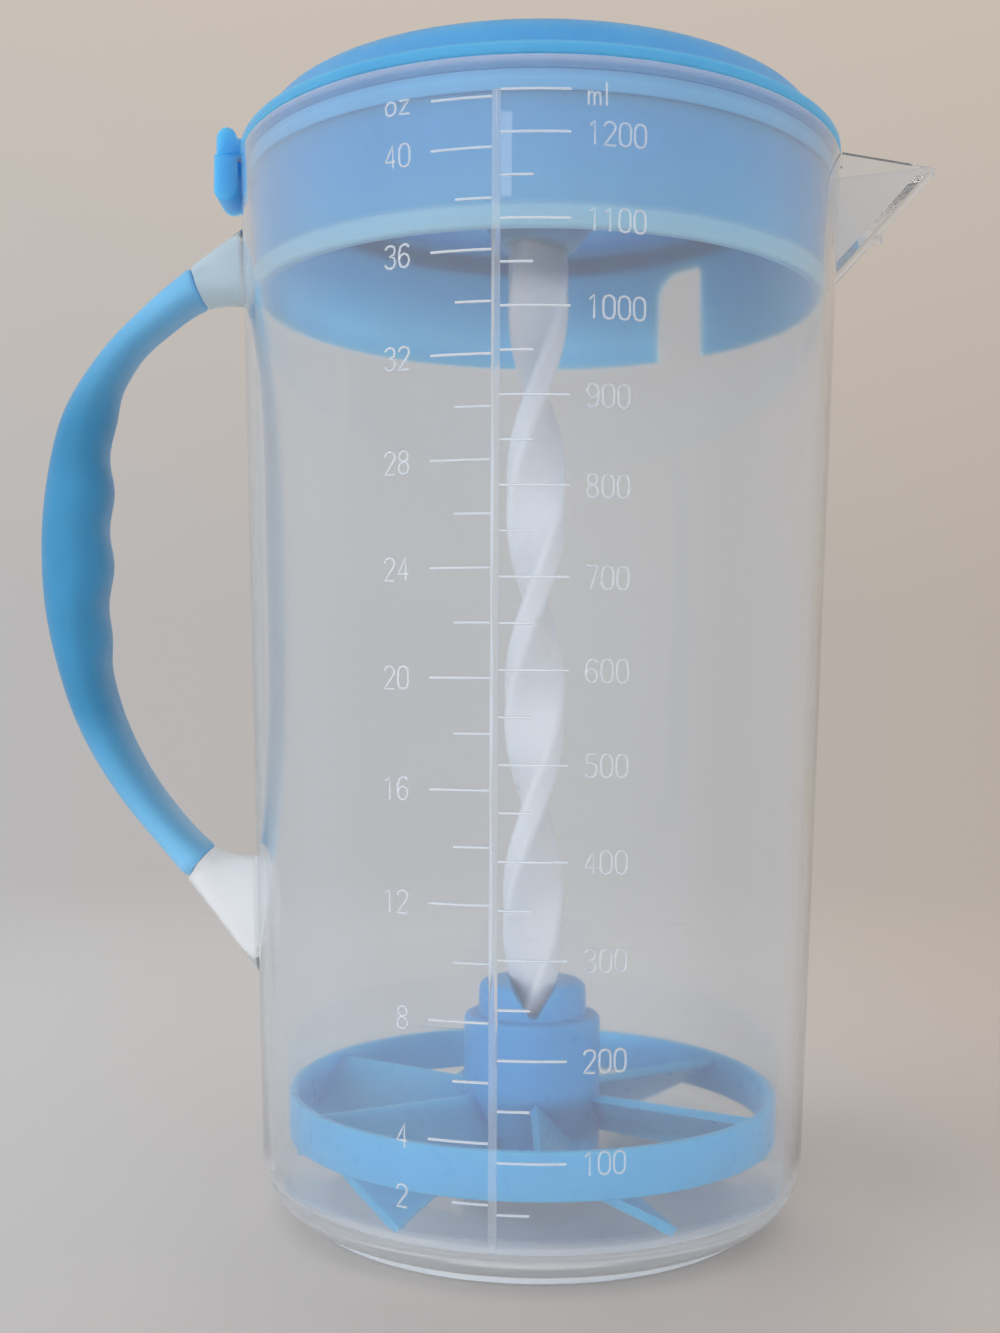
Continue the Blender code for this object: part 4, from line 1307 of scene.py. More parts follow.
@dataclass
class VolumeScale:
    """Raised ounce and millilitre graduations on the front of the wall."""

    azimuth: float = math.radians(-98.2)
    digit_height: float = 0.0034
    digit_pitch: float = 0.00232
    digit_width_share: float = 0.5
    stroke: float = 0.00018
    tick: float = 0.00021
    line: float = 0.00020
    ridge_steps: int = 2
    spine_half: float = 0.00065
    spine_edge_share: float = 0.5
    spine_pieces: int = 4
    spine_rise: float = 0.0022
    longest_step: float = 0.0012
    unit_drop: float = 0.0005
    ounce: float = 0.0000295735
    ounce_step: int = 2
    ounce_long: int = 4
    ounce_top: int = 42
    millilitre: float = 0.000001
    millilitre_step: int = 50
    millilitre_long: int = 100
    millilitre_top: int = 1250
    long_left: float = 0.0092
    short_left: float = 0.0054
    short_right: float = 0.0048
    long_right: float = 0.0102
    ounce_label_end: float = 0.0133
    millilitre_label_start: float = 0.0134

    def on_wall(self, across: float, height: float, rise: float = 0) -> Vector:
        """Point on the wall's outer face or just above it.

        Args:
            across: Distance along the wall from the scale's line, positive to the right.
            height: Height of the point.
            rise: Distance outside the face.

        Returns:
            The point.
        """
        radius = WALL.outer(height) + rise
        angle = self.azimuth + across / radius
        return Vector((radius * math.cos(angle), radius * math.sin(angle), height))

    def ridges(self, name: str, strokes: Sequence[Outline], thickness: float) -> Mesh:
        """Raised rounded ridges along strokes on the wall.

        Args:
            name: Name of the mesh.
            strokes: Each stroke as points of (across, height).
            thickness: Half of a ridge's width.

        Returns:
            The ridges' mesh.
        """
        curve = bpy.data.curves.new(name, "CURVE")
        curve.dimensions = "3D"
        curve.bevel_depth = thickness
        curve.bevel_resolution = self.ridge_steps
        curve.use_fill_caps = True
        for stroke in strokes:
            dense: Outline = []
            for (x0, z0), (x1, z1) in zip(stroke, stroke[1:]):
                pieces = max(1, math.ceil(abs(x1 - x0) / self.longest_step))
                dense += [(x0 + (x1 - x0) * i / pieces, z0 + (z1 - z0) * i / pieces) for i in range(pieces)]
            dense.append(stroke[-1])
            line = curve.splines.new("POLY")
            line.points.add(len(dense) - 1)
            for point, (x, z) in zip(line.points, dense):
                point.co = (*self.on_wall(x, z), 1)
        item = bpy.data.objects.new(name, curve)
        bpy.context.scene.collection.objects.link(item)
        bpy.context.view_layer.update()
        mesh = bpy.data.meshes.new_from_object(item.evaluated_get(bpy.context.evaluated_depsgraph_get()))
        bpy.data.objects.remove(item, do_unlink=True)
        mesh.shade_smooth()
        return mesh

    def spine(self, bottom: float, top: float) -> Mesh:
        """The flat raised bar between the two scales.

        Args:
            bottom: Height of its lower end.
            top: Height of its upper end.

        Returns:
            The bar's mesh.
        """
        half, edge = self.spine_half, self.line
        side = [(half - edge, edge), (half, edge * self.spine_edge_share), (half, -edge)]
        section = [(-x, rise) for x, rise in reversed(side)] + side
        rings = []
        for i in range(self.spine_pieces + 1):
            z = bottom + (top - bottom) * i / self.spine_pieces
            rings.append([self.on_wall(x, z, rise) for x, rise in section])
        return skinned("spine", rings)

    def label(self, text: str, start: float, height: float) -> list[Outline]:
        """Strokes of a row of digits or letters.

        Args:
            text: The row.
            start: Where it starts, across the wall.
            height: Height of its middle.

        Returns:
            The strokes, as points of (across, height).
        """
        strokes = []
        for place, sign in enumerate(text):
            left, size = start + place * self.digit_pitch, self.digit_height
            for stroke in strokes_of(sign):
                strokes.append([(left + x * size, height + (y - 0.5) * size) for x, y in stroke])
        return strokes

    def length(self, text: str) -> float:
        """Length of a row of digits or letters."""
        return (len(text) - 1) * self.digit_pitch + self.digit_height * self.digit_width_share

    def build(self) -> list[Piece]:
        """Build the line, the ticks and the numbers of both scales and dress them.

        Returns:
            The pieces.
        """
        bright, middling, faint = (finish.material() for finish in (TICK_CLEAR, OUNCE_CLEAR, SHADED_NUMBER_CLEAR))
        top = WALL.height_of(self.millilitre_top * self.millilitre)
        floor = WALL.floor + self.spine_rise
        half = self.spine_half
        ounces, ounce_numbers, millilitres, numbers = [], [], [], []
        for mark in range(self.ounce_step, self.ounce_top + 1, self.ounce_step):
            z = WALL.height_of(mark * self.ounce)
            long = mark % self.ounce_long == 0 or mark == self.ounce_top
            ounces.append([(-half - (self.long_left if long else self.short_left), z), (-half, z)])
            if mark % self.ounce_long == 0 or mark == self.ounce_step:
                text = str(mark)
                ounce_numbers += self.label(text, -self.ounce_label_end - self.length(text), z)
        unit_height = top - self.unit_drop
        ounce_numbers += self.label("oz", -self.ounce_label_end - self.length("oz"), unit_height)
        for mark in range(self.millilitre_step, self.millilitre_top + 1, self.millilitre_step):
            z = WALL.height_of(mark * self.millilitre)
            long = mark % self.millilitre_long == 0 or mark == self.millilitre_top
            millilitres.append([(half, z), (half + (self.long_right if long else self.short_right), z)])
            if mark % self.millilitre_long == 0:
                numbers += self.label(str(mark), self.millilitre_label_start, z)
        numbers += self.label("ml", self.millilitre_label_start, unit_height)
        spine = self.spine(floor, top)
        made = [placed("scale_line", spine, LINE_CLEAR.material(), Body.VESSEL)]
        for name, strokes, thickness, finish in (
            ("ounce_scale", ounces, self.tick, bright),
            ("ounce_numbers", ounce_numbers, self.stroke, middling),
            ("millilitre_scale", millilitres, self.tick, bright),
            # The millilitre numbers take the clearer finish with painted shade, for the weaker light on
            # their side
            ("millilitre_numbers", numbers, self.stroke, faint),
        ):
            ridges = self.ridges(name, strokes, thickness)
            made.append(placed(name, ridges, finish, Body.VESSEL))
        return made


# The lid with its seal


@dataclass
class Lid:
    """The blue lid: flange, raised cap with a well, skirt with bead and notch, guide boss and thumb lug."""

    flange_radius: float = 0.0528
    flange_thickness: float = 0.0017
    wall: float = 0.0018
    cap_foot: float = 0.0506
    cap_edge: float = 0.0474
    cap_edge_rise: float = 0.0061
    cap_crown_rise: float = 0.0088
    well_radius: float = 0.0218
    well_rise: float = 0.0014
    well_round: float = 0.0016
    cap_edge_round: float = 0.0070
    cap_inner_round: float = 0.0015
    boss_round: float = 0.0010
    skirt_clearance: float = 0.0008
    skirt_taper: float = 0.0010
    skirt_wall: float = 0.0016
    skirt_depth: float = 0.0246
    bead_height: float = 0.0032
    bead_gap: float = 0.0004
    boss_radius: float = 0.0095
    boss_tip_radius: float = 0.0068
    boss_tip_drop: float = 0.0133
    boss_cone: float = 0.0034
    slot_plate: float = 0.0030
    bore: float = 0.0064
    pilot: float = 0.0012
    seal_drop: float = 0.0016
    seal_height: float = 0.0034
    seal_groove: float = 0.0014
    seal_lip: float = 0.0005
    notch_azimuth: float = math.radians(51.5)
    notch_width: float = 0.0110
    notch_height: float = 0.0180
    notch_large_round: float = 0.0048
    notch_small_round: float = 0.0020
    lug_reach: float = 0.0047
    lug_rise: float = 0.0049
    lug_drop: float = 0.0066
    lug_root: float = 0.0042
    lug_half_width: float = 0.0052
    lug_gap: float = 0.0005
    lug_round: float = 0.0021
    lug_step: float = 0.0003
    lug_edge: float = 0.0010
    slot_clearance: float = 0.00035
    notch_large_steps: int = 10
    notch_small_steps: int = 8
    lug_steps: int = 24

    @property
    def seat(self) -> float:
        """Height of the flange's underside."""
        return WALL.rim_height + GAP

    @property
    def top(self) -> float:
        """Height of the flange's top."""
        return self.seat + self.flange_thickness

    @property
    def well(self) -> float:
        """Height of the well's floor."""
        return self.top + self.well_rise

    @property
    def boss_tip(self) -> float:
        """Height of the guide boss's lower end."""
        return WALL.rim_height - self.boss_tip_drop

    def skirt(self, height: float) -> float:
        """Outer radius of the skirt at a height."""
        top = WALL.inner(WALL.rim_height) - self.skirt_clearance
        return top - self.skirt_taper * (self.seat - height) / self.skirt_depth

    def outline(self) -> Outline:
        """Closed outline of the lid, from the well round the outside and back up inside.

        Returns:
            The outline.
        """
        top, seat, well = self.top, self.seat, self.well
        edge, crown = top + self.cap_edge_rise, top + self.cap_crown_rise
        bottom = seat - self.skirt_depth
        bead_top = bottom + self.bead_height
        bead = WALL.inner(bottom) - self.bead_gap
        groove_top = seat - self.seal_drop
        groove_bottom = groove_top - self.seal_height
        groove = self.skirt(groove_top) - self.seal_groove
        inner_top = self.skirt(seat) - self.skirt_wall - self.seal_groove
        inner_bottom = self.skirt(bottom) - self.skirt_wall
        tip = self.boss_tip
        return rounded([
            (self.bore, well, SMALL),
            (self.well_radius, well, self.well_round),
            (self.well_radius, crown, self.well_round),
            (self.cap_edge, edge, self.cap_edge_round),
            (self.cap_foot, top, SOFT),
            (self.flange_radius, top, MILD),
            (self.flange_radius, seat, FINE),
            (self.skirt(seat), seat, CRISP),
            (self.skirt(groove_top), groove_top, CRISP),
            (groove, groove_top, 0),
            (groove, groove_bottom, 0),
            (self.skirt(groove_bottom), groove_bottom, CRISP),
            (self.skirt(bead_top), bead_top + self.bead_gap, EVEN),
            (bead, bead_top - self.bead_gap, EVEN),
            (bead, bottom, EVEN),
            (inner_bottom, bottom, SMALL),
            (inner_top, groove_bottom, MILD),
            (inner_top, seat, MILD),
            (self.cap_edge - self.wall, edge - self.wall, self.cap_inner_round),
            (self.well_radius + self.wall, crown - self.wall, SOFT),
            (self.well_radius + self.wall, well - self.wall, SOFT),
            (self.boss_radius, well - self.wall, self.boss_round),
            (self.boss_radius, tip + self.boss_cone, SOFT),
            (self.boss_tip_radius, tip, SMALL),
            (self.pilot, tip, 0),
            (self.pilot, tip + self.slot_plate, 0),
            (self.bore, tip + self.slot_plate + self.boss_cone, SMALL),
        ])

    def notch(self) -> Mesh:
        """Prism that cuts the pour notch, with one large and one small upper corner.

        Returns:
            The prism's mesh.
        """
        half, height = self.notch_width / 2, self.notch_height
        large, small = self.notch_large_round, self.notch_small_round
        outline = [(half, -OVERRUN)]
        quarter = math.pi / 2
        outline += arc((half - large, height - large), (large, large), 0, quarter, self.notch_large_steps)
        outline += arc(
            (small - half, height - small), (small, small), quarter, math.pi, self.notch_small_steps
        )
        outline += [(-half, -OVERRUN)]
        bottom = self.seat - self.skirt_depth
        outward = Vector((math.cos(self.notch_azimuth), math.sin(self.notch_azimuth), 0))
        around = Vector((-outward.y, outward.x, 0))
        up = Vector((0, 0, 1))
        axes = Matrix((around, up, around.cross(up))).transposed().to_4x4()
        place = Matrix.Translation(outward * (self.skirt(bottom) - self.skirt_wall / 2) + up * bottom)
        return slab("notch", outline, self.skirt_wall + OVERRUN, place @ axes)

    def lug(self) -> list[tuple[Carve, Mesh]]:
        """Thumb lug outside the rim over the handle: a hanging tab and a slightly smaller lobe on it.

        Returns:
            The tab and the lobe, to be added to the lid.
        """
        inner = -(WALL.rim_radius + self.lug_gap)
        outer = -(self.flange_radius + self.lug_reach)
        root = -(self.flange_radius - self.lug_root)
        crest, foot = self.top + self.lug_rise, self.seat - self.lug_drop
        waist = self.seat + self.flange_thickness / 2
        ledge, step, deep = self.top - self.lug_step / 2, self.lug_step, self.lug_round
        middle, wide = (inner + outer) / 2, (inner - outer) / 2
        tab = arc((middle, foot + deep), (wide, deep), 0, -math.pi, self.lug_steps)
        tab += [(outer, self.top), (root, self.top), (root, waist), (inner, waist)]
        lobe = [(root, ledge), (outer + step, ledge)]
        lobe += arc((middle, crest - deep), (wide - step, deep), math.pi, 0, self.lug_steps)
        lobe.append((root, crest - deep))
        upright = Matrix.Rotation(math.pi / 2, 4, "X")
        half = self.lug_half_width
        return [
            (Carve.ADD, pillow("lug_tab", tab, half, self.lug_edge, upright)),
            (Carve.ADD, pillow("lug_lobe", lobe, half - step, self.lug_edge, upright)),
        ]

    def build(self, rod: TwistRod) -> Piece:
        """Build the lid and dress it.

        Args:
            rod: The rod that its slot guides.

        Returns:
            The lid.
        """
        slot_top = self.boss_tip + self.slot_plate + self.boss_cone
        slot = rod.bar("slot", self.boss_tip - OVERRUN, slot_top, self.slot_clearance)
        mesh = carved(
            turned("lid", self.outline()),
            [*self.lug(), (Carve.CUT, self.notch()), (Carve.CUT, slot)],
        )
        return placed("blue_lid", mesh, LID_BLUE.material(), Body.LID, ["lid"])

    def build_seal(self) -> Piece:
        """Build the seal ring in the skirt's groove and dress it.

        Returns:
            The seal ring.
        """
        groove_top = self.seat - self.seal_drop
        top, bottom = groove_top - SNUG, groove_top - self.seal_height + SNUG
        inner = self.skirt(groove_top) - self.seal_groove + GAP
        lip = WALL.inner(bottom) - self.bead_gap
        mesh = turned("seal", rounded([
            (inner, top, CRISP),
            (lip - self.seal_lip, top, SMALL),
            (lip, (top + bottom) / 2, MILD),
            (lip - self.seal_lip, bottom, SMALL),
            (inner, bottom, CRISP),
        ]))
        return placed("seal_ring", mesh, SEAL_BLUE.material(), Body.SEAL, ["lid_seal"])


# The plunger: rod, knob, cap and screw


@dataclass
class TwistRod:
    """The twisted flat rod with a round journal on top."""

    width: float = 0.0105
    thickness: float = 0.0045
    corner: float = 0.0012
    half_pitch: float = 0.0367
    facing: float = 0.0513
    end: float = 0.0140
    journal: float = 0.0040
    journal_round: float = 0.0003
    journal_hole: float = 0.0018
    journal_hole_depth: float = 0.0105
    twist_step: float = math.radians(4)
    corner_steps: int = 5
    flat_strips: int = 8
    journal_round_steps: int = 3

    def bar(self, name: str, bottom: float, top: float, clearance: float) -> Mesh:
        """The twisted bar, swelled on all sides by a clearance.

        Args:
            name: Name of the mesh.
            bottom: Height of its lower end.
            top: Height of its upper end.
            clearance: How far it is swelled.

        Returns:
            The bar's mesh.
        """
        half_w, half_t = self.width / 2 + clearance, self.thickness / 2 + clearance
        corner = self.corner + clearance
        section: Outline = []
        for quarter, (sx, sy) in enumerate(((1, 1), (-1, 1), (-1, -1), (1, -1))):
            start = quarter * math.pi / 2
            centre = (sx * (half_w - corner), sy * (half_t - corner))
            section += arc(centre, (corner, corner), start, start + math.pi / 2, self.corner_steps)
            if quarter % 2 == 0:
                strips = [2 * strip / self.flat_strips for strip in range(1, self.flat_strips)]
                section += [(centre[0] * (1 - strip), sy * half_t) for strip in strips]
        count = math.ceil(self.turn(top - bottom) / self.twist_step)
        rings = []
        for i in range(count + 1):
            z = bottom + (top - bottom) * i / count
            turn = Matrix.Rotation(self.turn(z - self.facing), 3, "Z")
            rings.append([turn @ Vector((x, y, 0)) + Vector((0, 0, z)) for x, y in section])
        return skinned(name, rings)

    def turn(self, rise: float) -> float:
        """Angle that the bar twists through over a rise."""
        return math.pi * rise / self.half_pitch

    def build(self, knob: Knob) -> Piece:
        """Build the rod and dress it.

        Args:
            knob: The knob on its journal.

        Returns:
            The rod.
        """
        top = knob.base - GAP
        journal_top = knob.floor
        journal = rounded([
            (0, journal_top, 0),
            (self.journal, journal_top, self.journal_round),
            (self.journal, top - OVERRUN, 0),
            (0, top - self.journal - OVERRUN, 0),
        ], self.journal_round_steps, closed=False)
        low = knob.floor - self.journal_hole_depth
        drill = [
            (0, journal_top + OVERRUN),
            (self.journal_hole, journal_top + OVERRUN),
            (self.journal_hole, low),
            (0, low - self.journal_hole / 2),
        ]
        mesh = carved(
            self.bar("rod", self.end, top, 0),
            [
                (Carve.ADD, turned("journal", journal, SMALL_TURN_STEPS, closed=False)),
                (Carve.CUT, turned("drill", drill, SMALL_TURN_STEPS, closed=False)),
            ],
        )
        finish = ROD_WHITE.material()
        return placed("twisted_rod", mesh, finish, Body.AGITATOR, ["twist_rod"])


@dataclass
class Knob:
    """The pull knob, its cap and the screw that holds it."""

    base: float = 0.1858
    height: float = 0.0152
    radius: float = 0.0170
    waist: float = 0.0144
    foot: float = 0.0154
    waist_share: float = 0.36
    edge: float = 0.0018
    shoulder_round: float = 0.0012
    waist_round: float = 0.0060
    wall: float = 0.0021
    hub: float = 0.0074
    floor_depth: float = 0.0052
    floor_thickness: float = 0.0024
    pocket: float = 0.0094
    cap_radius: float = 0.0112
    cap_thickness: float = 0.0018
    cap_crown: float = 0.0002
    screw_head: float = 0.0070
    screw_head_height: float = 0.0018
    screw_length: float = 0.0085
    screw_crown: float = 0.0003
    screw_head_round: float = 0.0009
    screw_slot_depth: float = 0.0006
    screw_slot_reach: float = 0.0022
    screw_slot_half: float = 0.0004
    round_steps: int = 8

    @property
    def floor(self) -> float:
        """Height of the floor under the screw's head."""
        return self.base + self.height - self.floor_depth

    @property
    def top(self) -> float:
        """Height of the knob's top."""
        return self.base + self.height

    def build_knob(self, rod: TwistRod) -> Piece:
        """Build the knob and dress it.

        Args:
            rod: The rod that the knob swivels on.

        Returns:
            The knob.
        """
        top = self.top
        core_top = self.floor - self.floor_thickness
        core = self.waist - self.wall
        ledge = top - self.cap_thickness - GAP
        recess = self.cap_radius + GAP
        bore = rod.journal + GAP
        outline = rounded([
            (self.radius, top, self.edge),
            (self.radius, top - 2 * self.edge, self.shoulder_round),
            (self.waist, self.base + self.height * self.waist_share, self.waist_round),
            (self.foot, self.base, SOFT),
            (core, self.base, FINE),
            (core, core_top, SMALL),
            (self.hub, core_top, SMALL),
            (self.hub, self.base, FINE),
            (bore, self.base, CRISP),
            (bore, self.floor, 0),
            (self.pocket, self.floor, FINE),
            (self.pocket, ledge, 0),
            (recess, ledge, 0),
            (recess, top, FINE),
        ], self.round_steps)
        mesh = turned("knob", outline, SMALL_TURN_STEPS)
        finish = KNOB_BLUE.material()
        return placed("pull_knob", mesh, finish, Body.PLUNGER, ["plunger_knob"])

    def build_cap(self) -> Piece:
        """Build the cap disc, which is crowned a little, and dress it.

        Returns:
            The cap.
        """
        low = self.top - self.cap_thickness
        outline = rounded([
            (0, self.top, 0),
            (self.cap_radius, self.top - self.cap_crown, EVEN),
            (self.cap_radius, low, CRISP),
            (0, low, 0),
        ], closed=False)
        mesh = turned("cap", outline, SMALL_TURN_STEPS, closed=False)
        return placed("knob_cap_disc", mesh, CAP_BLUE.material(), Body.PLUNGER, ["knob_cap"])

    def build_screw(self, rod: TwistRod) -> Piece:
        """Build the cross-slotted screw in the rod's journal and dress it.

        Args:
            rod: The rod that the screw is driven into.

        Returns:
            The screw.
        """
        seat = self.floor + GAP
        shank = rod.journal_hole - GAP
        tip = seat - self.screw_length
        head = seat + self.screw_head_height
        outline = rounded([
            (0, head, 0),
            (self.screw_head, head - self.screw_crown, self.screw_head_round),
            (self.screw_head, seat, CRISP),
            (shank, seat, 0),
            (shank, tip, 0),
            (0, tip - shank / 2, 0),
        ], closed=False)
        across, half = self.screw_slot_reach, self.screw_slot_half
        slot = [(-across, -half), (across, -half), (across, half), (-across, half)]
        cross = []
        for turn in (0, math.pi / 2):
            place = Matrix.Translation((0, 0, head)) @ Matrix.Rotation(turn, 4, "Z")
            cross.append((Carve.CUT, slab("drive", slot, self.screw_slot_depth, place)))
        mesh = carved(turned("screw", outline, SMALL_TURN_STEPS, closed=False), cross)
        finish = SCREW_STEEL.material()
        return placed("journal_screw", mesh, finish, Body.AGITATOR, ["knob_screw"])


# The mixing wheel


@dataclass
class Wheel:
    """The mixing wheel: hub with a snap collar, ring, and pitched vanes that end in feet."""

    hub: float = 0.0120
    bottom: float = 0.0100
    top: float = 0.0330
    hub_wall: float = 0.0018
    hub_round: float = 0.0012
    collar_round: float = 0.0020
    pilot: float = 0.0012
    socket_wall: float = 0.0082
    core_depth: float = 0.0190
    collar: float = 0.0095
    collar_height: float = 0.0058
    collar_notch: float = 0.0046
    notch_root: float = 0.0006
    ring: float = 0.0426
    ring_wall: float = 0.0014
    ring_round: float = 0.0004
    ring_bottom: float = 0.0135
    ring_top: float = 0.0210
    vane_count: int = 6
    vane_first: float = math.radians(-30)
    vane_spread: float = math.radians(30)
    vane_thickness: float = 0.0014
    vane_top: float = 0.0195
    vane_hub_drop: float = 0.0065
    vane_ring_drop: float = 0.0122
    vane_root: float = 0.0009
    radial_steps: int = 20
    chord_steps: int = 14
    hub_round_steps: int = 6
    ring_round_steps: int = 4

    def vane(self, index: int) -> Mesh:
        """One pitched vane, from inside the hub's shell to the middle of the ring's wall.

        Args:
            index: Number of the vane.

        Returns:
            The vane's mesh.
        """
        start, end = self.hub - self.vane_root, self.ring - self.ring_wall / 2
        azimuth = self.vane_first + 2 * math.pi * index / self.vane_count
        shape = bmesh.new()
        bmesh.ops.create_grid(shape, x_segments=self.radial_steps, y_segments=self.chord_steps, size=1)
        for vertex in shape.verts:
            out, down = (vertex.co.x + 1) / 2, (vertex.co.y + 1) / 2
            radius = start + (end - start) * out
            drop = self.vane_hub_drop + (self.vane_ring_drop - self.vane_hub_drop) * out
            angle = azimuth + self.vane_spread * down
            vertex.co = (radius * math.cos(angle), radius * math.sin(angle), self.vane_top - drop * down)
        mesh = bpy.data.meshes.new(f"vane_{index + 1}")
        shape.to_mesh(mesh)
        shape.free()
        item = bpy.data.objects.new(mesh.name, mesh)
        bpy.context.scene.collection.objects.link(item)
        shell = item.modifiers.new("thickness", "SOLIDIFY")
        shell.thickness = self.vane_thickness
        shell.offset = 0
        bpy.context.view_layer.update()
        made = bpy.data.meshes.new_from_object(item.evaluated_get(bpy.context.evaluated_depsgraph_get()))
        bpy.data.objects.remove(item, do_unlink=True)
        return made

    def build(self, rod: TwistRod) -> Piece:
        """Build the wheel in one moulding and dress it.

        Args:
            rod: The rod that its socket holds.

        Returns:
            The wheel.
        """
        collar_top = self.top + self.collar_height
        core = self.bottom + self.core_depth
        shell = self.hub - self.hub_wall
        hub = rounded([
            (self.pilot, collar_top, 0),
            (self.collar, collar_top, self.collar_round),
            (self.collar, self.top, SMALL),
            (self.hub, self.top, self.hub_round),
            (self.hub, self.bottom, SMALL),
            (shell, self.bottom, FINE),
            (shell, core, SMALL),
            (self.socket_wall, core, SMALL),
            (self.socket_wall, self.bottom, FINE),
            (self.pilot, self.bottom, 0),
        ], self.hub_round_steps)
        inner, low, high = self.ring - self.ring_wall, self.ring_bottom, self.ring_top
        rim = ((inner, high), (self.ring, high), (self.ring, low), (inner, low))
        ring = rounded([(*corner, self.ring_round) for corner in rim], self.ring_round_steps)
        root, half = self.notch_root, self.collar_notch
        notch_bottom, notch_top = self.top + root, collar_top + root
        notch = [(-root, notch_bottom), (root, notch_bottom), (half, notch_top), (-half, notch_top)]
        across = Matrix.Rotation(math.pi / 2, 4, "X")
        steps = [(Carve.ADD, self.vane(i)) for i in range(self.vane_count)]
        steps += [
            (Carve.ADD, turned("ring", ring)),
            (Carve.CUT, slab("collar_notch", notch, self.collar + OVERRUN, across)),
            (Carve.CUT, rod.bar("socket", rod.end - GAP, collar_top + OVERRUN, GAP)),
        ]
        mesh = carved(turned("wheel", hub, SMALL_TURN_STEPS), steps)
        finish = WHEEL_BLUE.material()
        return placed("mixing_wheel", mesh, finish, Body.AGITATOR, ["mixer_wheel"])


# The studio


@dataclass
class Camera:
    """The camera at the photograph's place, measured from the jug's axis."""

    place: tuple[float, float, float] = (-0.00626, -0.26955, 0.08963)
    pitch: float = 0.0168
    roll: float = 0.0088
    lens: float = 40.81
    sensor: float = 36
    nearest: float = 0.01
    farthest: float = 50

    def build(self) -> None:
        """Set up the camera."""
        data = bpy.data.cameras.new("camera")
        data.lens = self.lens
        data.sensor_width = self.sensor
        data.clip_start, data.clip_end = self.nearest, self.farthest
        item = bpy.data.objects.new("camera", data)
        bpy.context.scene.collection.objects.link(item)
        turn = Matrix.Rotation(math.pi / 2 + self.pitch, 4, "X") @ Matrix.Rotation(self.roll, 4, "Z")
        item.matrix_world = Matrix.Translation(Vector(self.place) + Vector((JUG_AXIS, 0, 0))) @ turn
        bpy.context.scene.camera = item


@dataclass
class Softbox:
    """One large soft lamp, aimed at the object's middle."""

    name: str
    place: tuple[float, float, float]
    size: float
    power: float
    colour: tuple[float, float, float]
    mirrored: bool = False
    flatness: float = 1.0
    aim_height: float = 0.1

    def build(self) -> None:
        """Hang the lamp, which shows in gloss only if it is mirrored."""
        data = bpy.data.lights.new(self.name, "AREA")
        data.shape = "RECTANGLE"
        data.size, data.size_y = self.size, self.size * self.flatness
        data.energy = self.power
        data.color = self.colour
        item = bpy.data.objects.new(self.name, data)
        item.location = self.place
        item.visible_camera = False
        item.visible_transmission = False
        item.visible_glossy = self.mirrored
        aim = Vector((0, 0, self.aim_height)) - item.location
        item.rotation_euler = aim.to_track_quat("-Z", "Y").to_euler()
        bpy.context.scene.collection.objects.link(item)


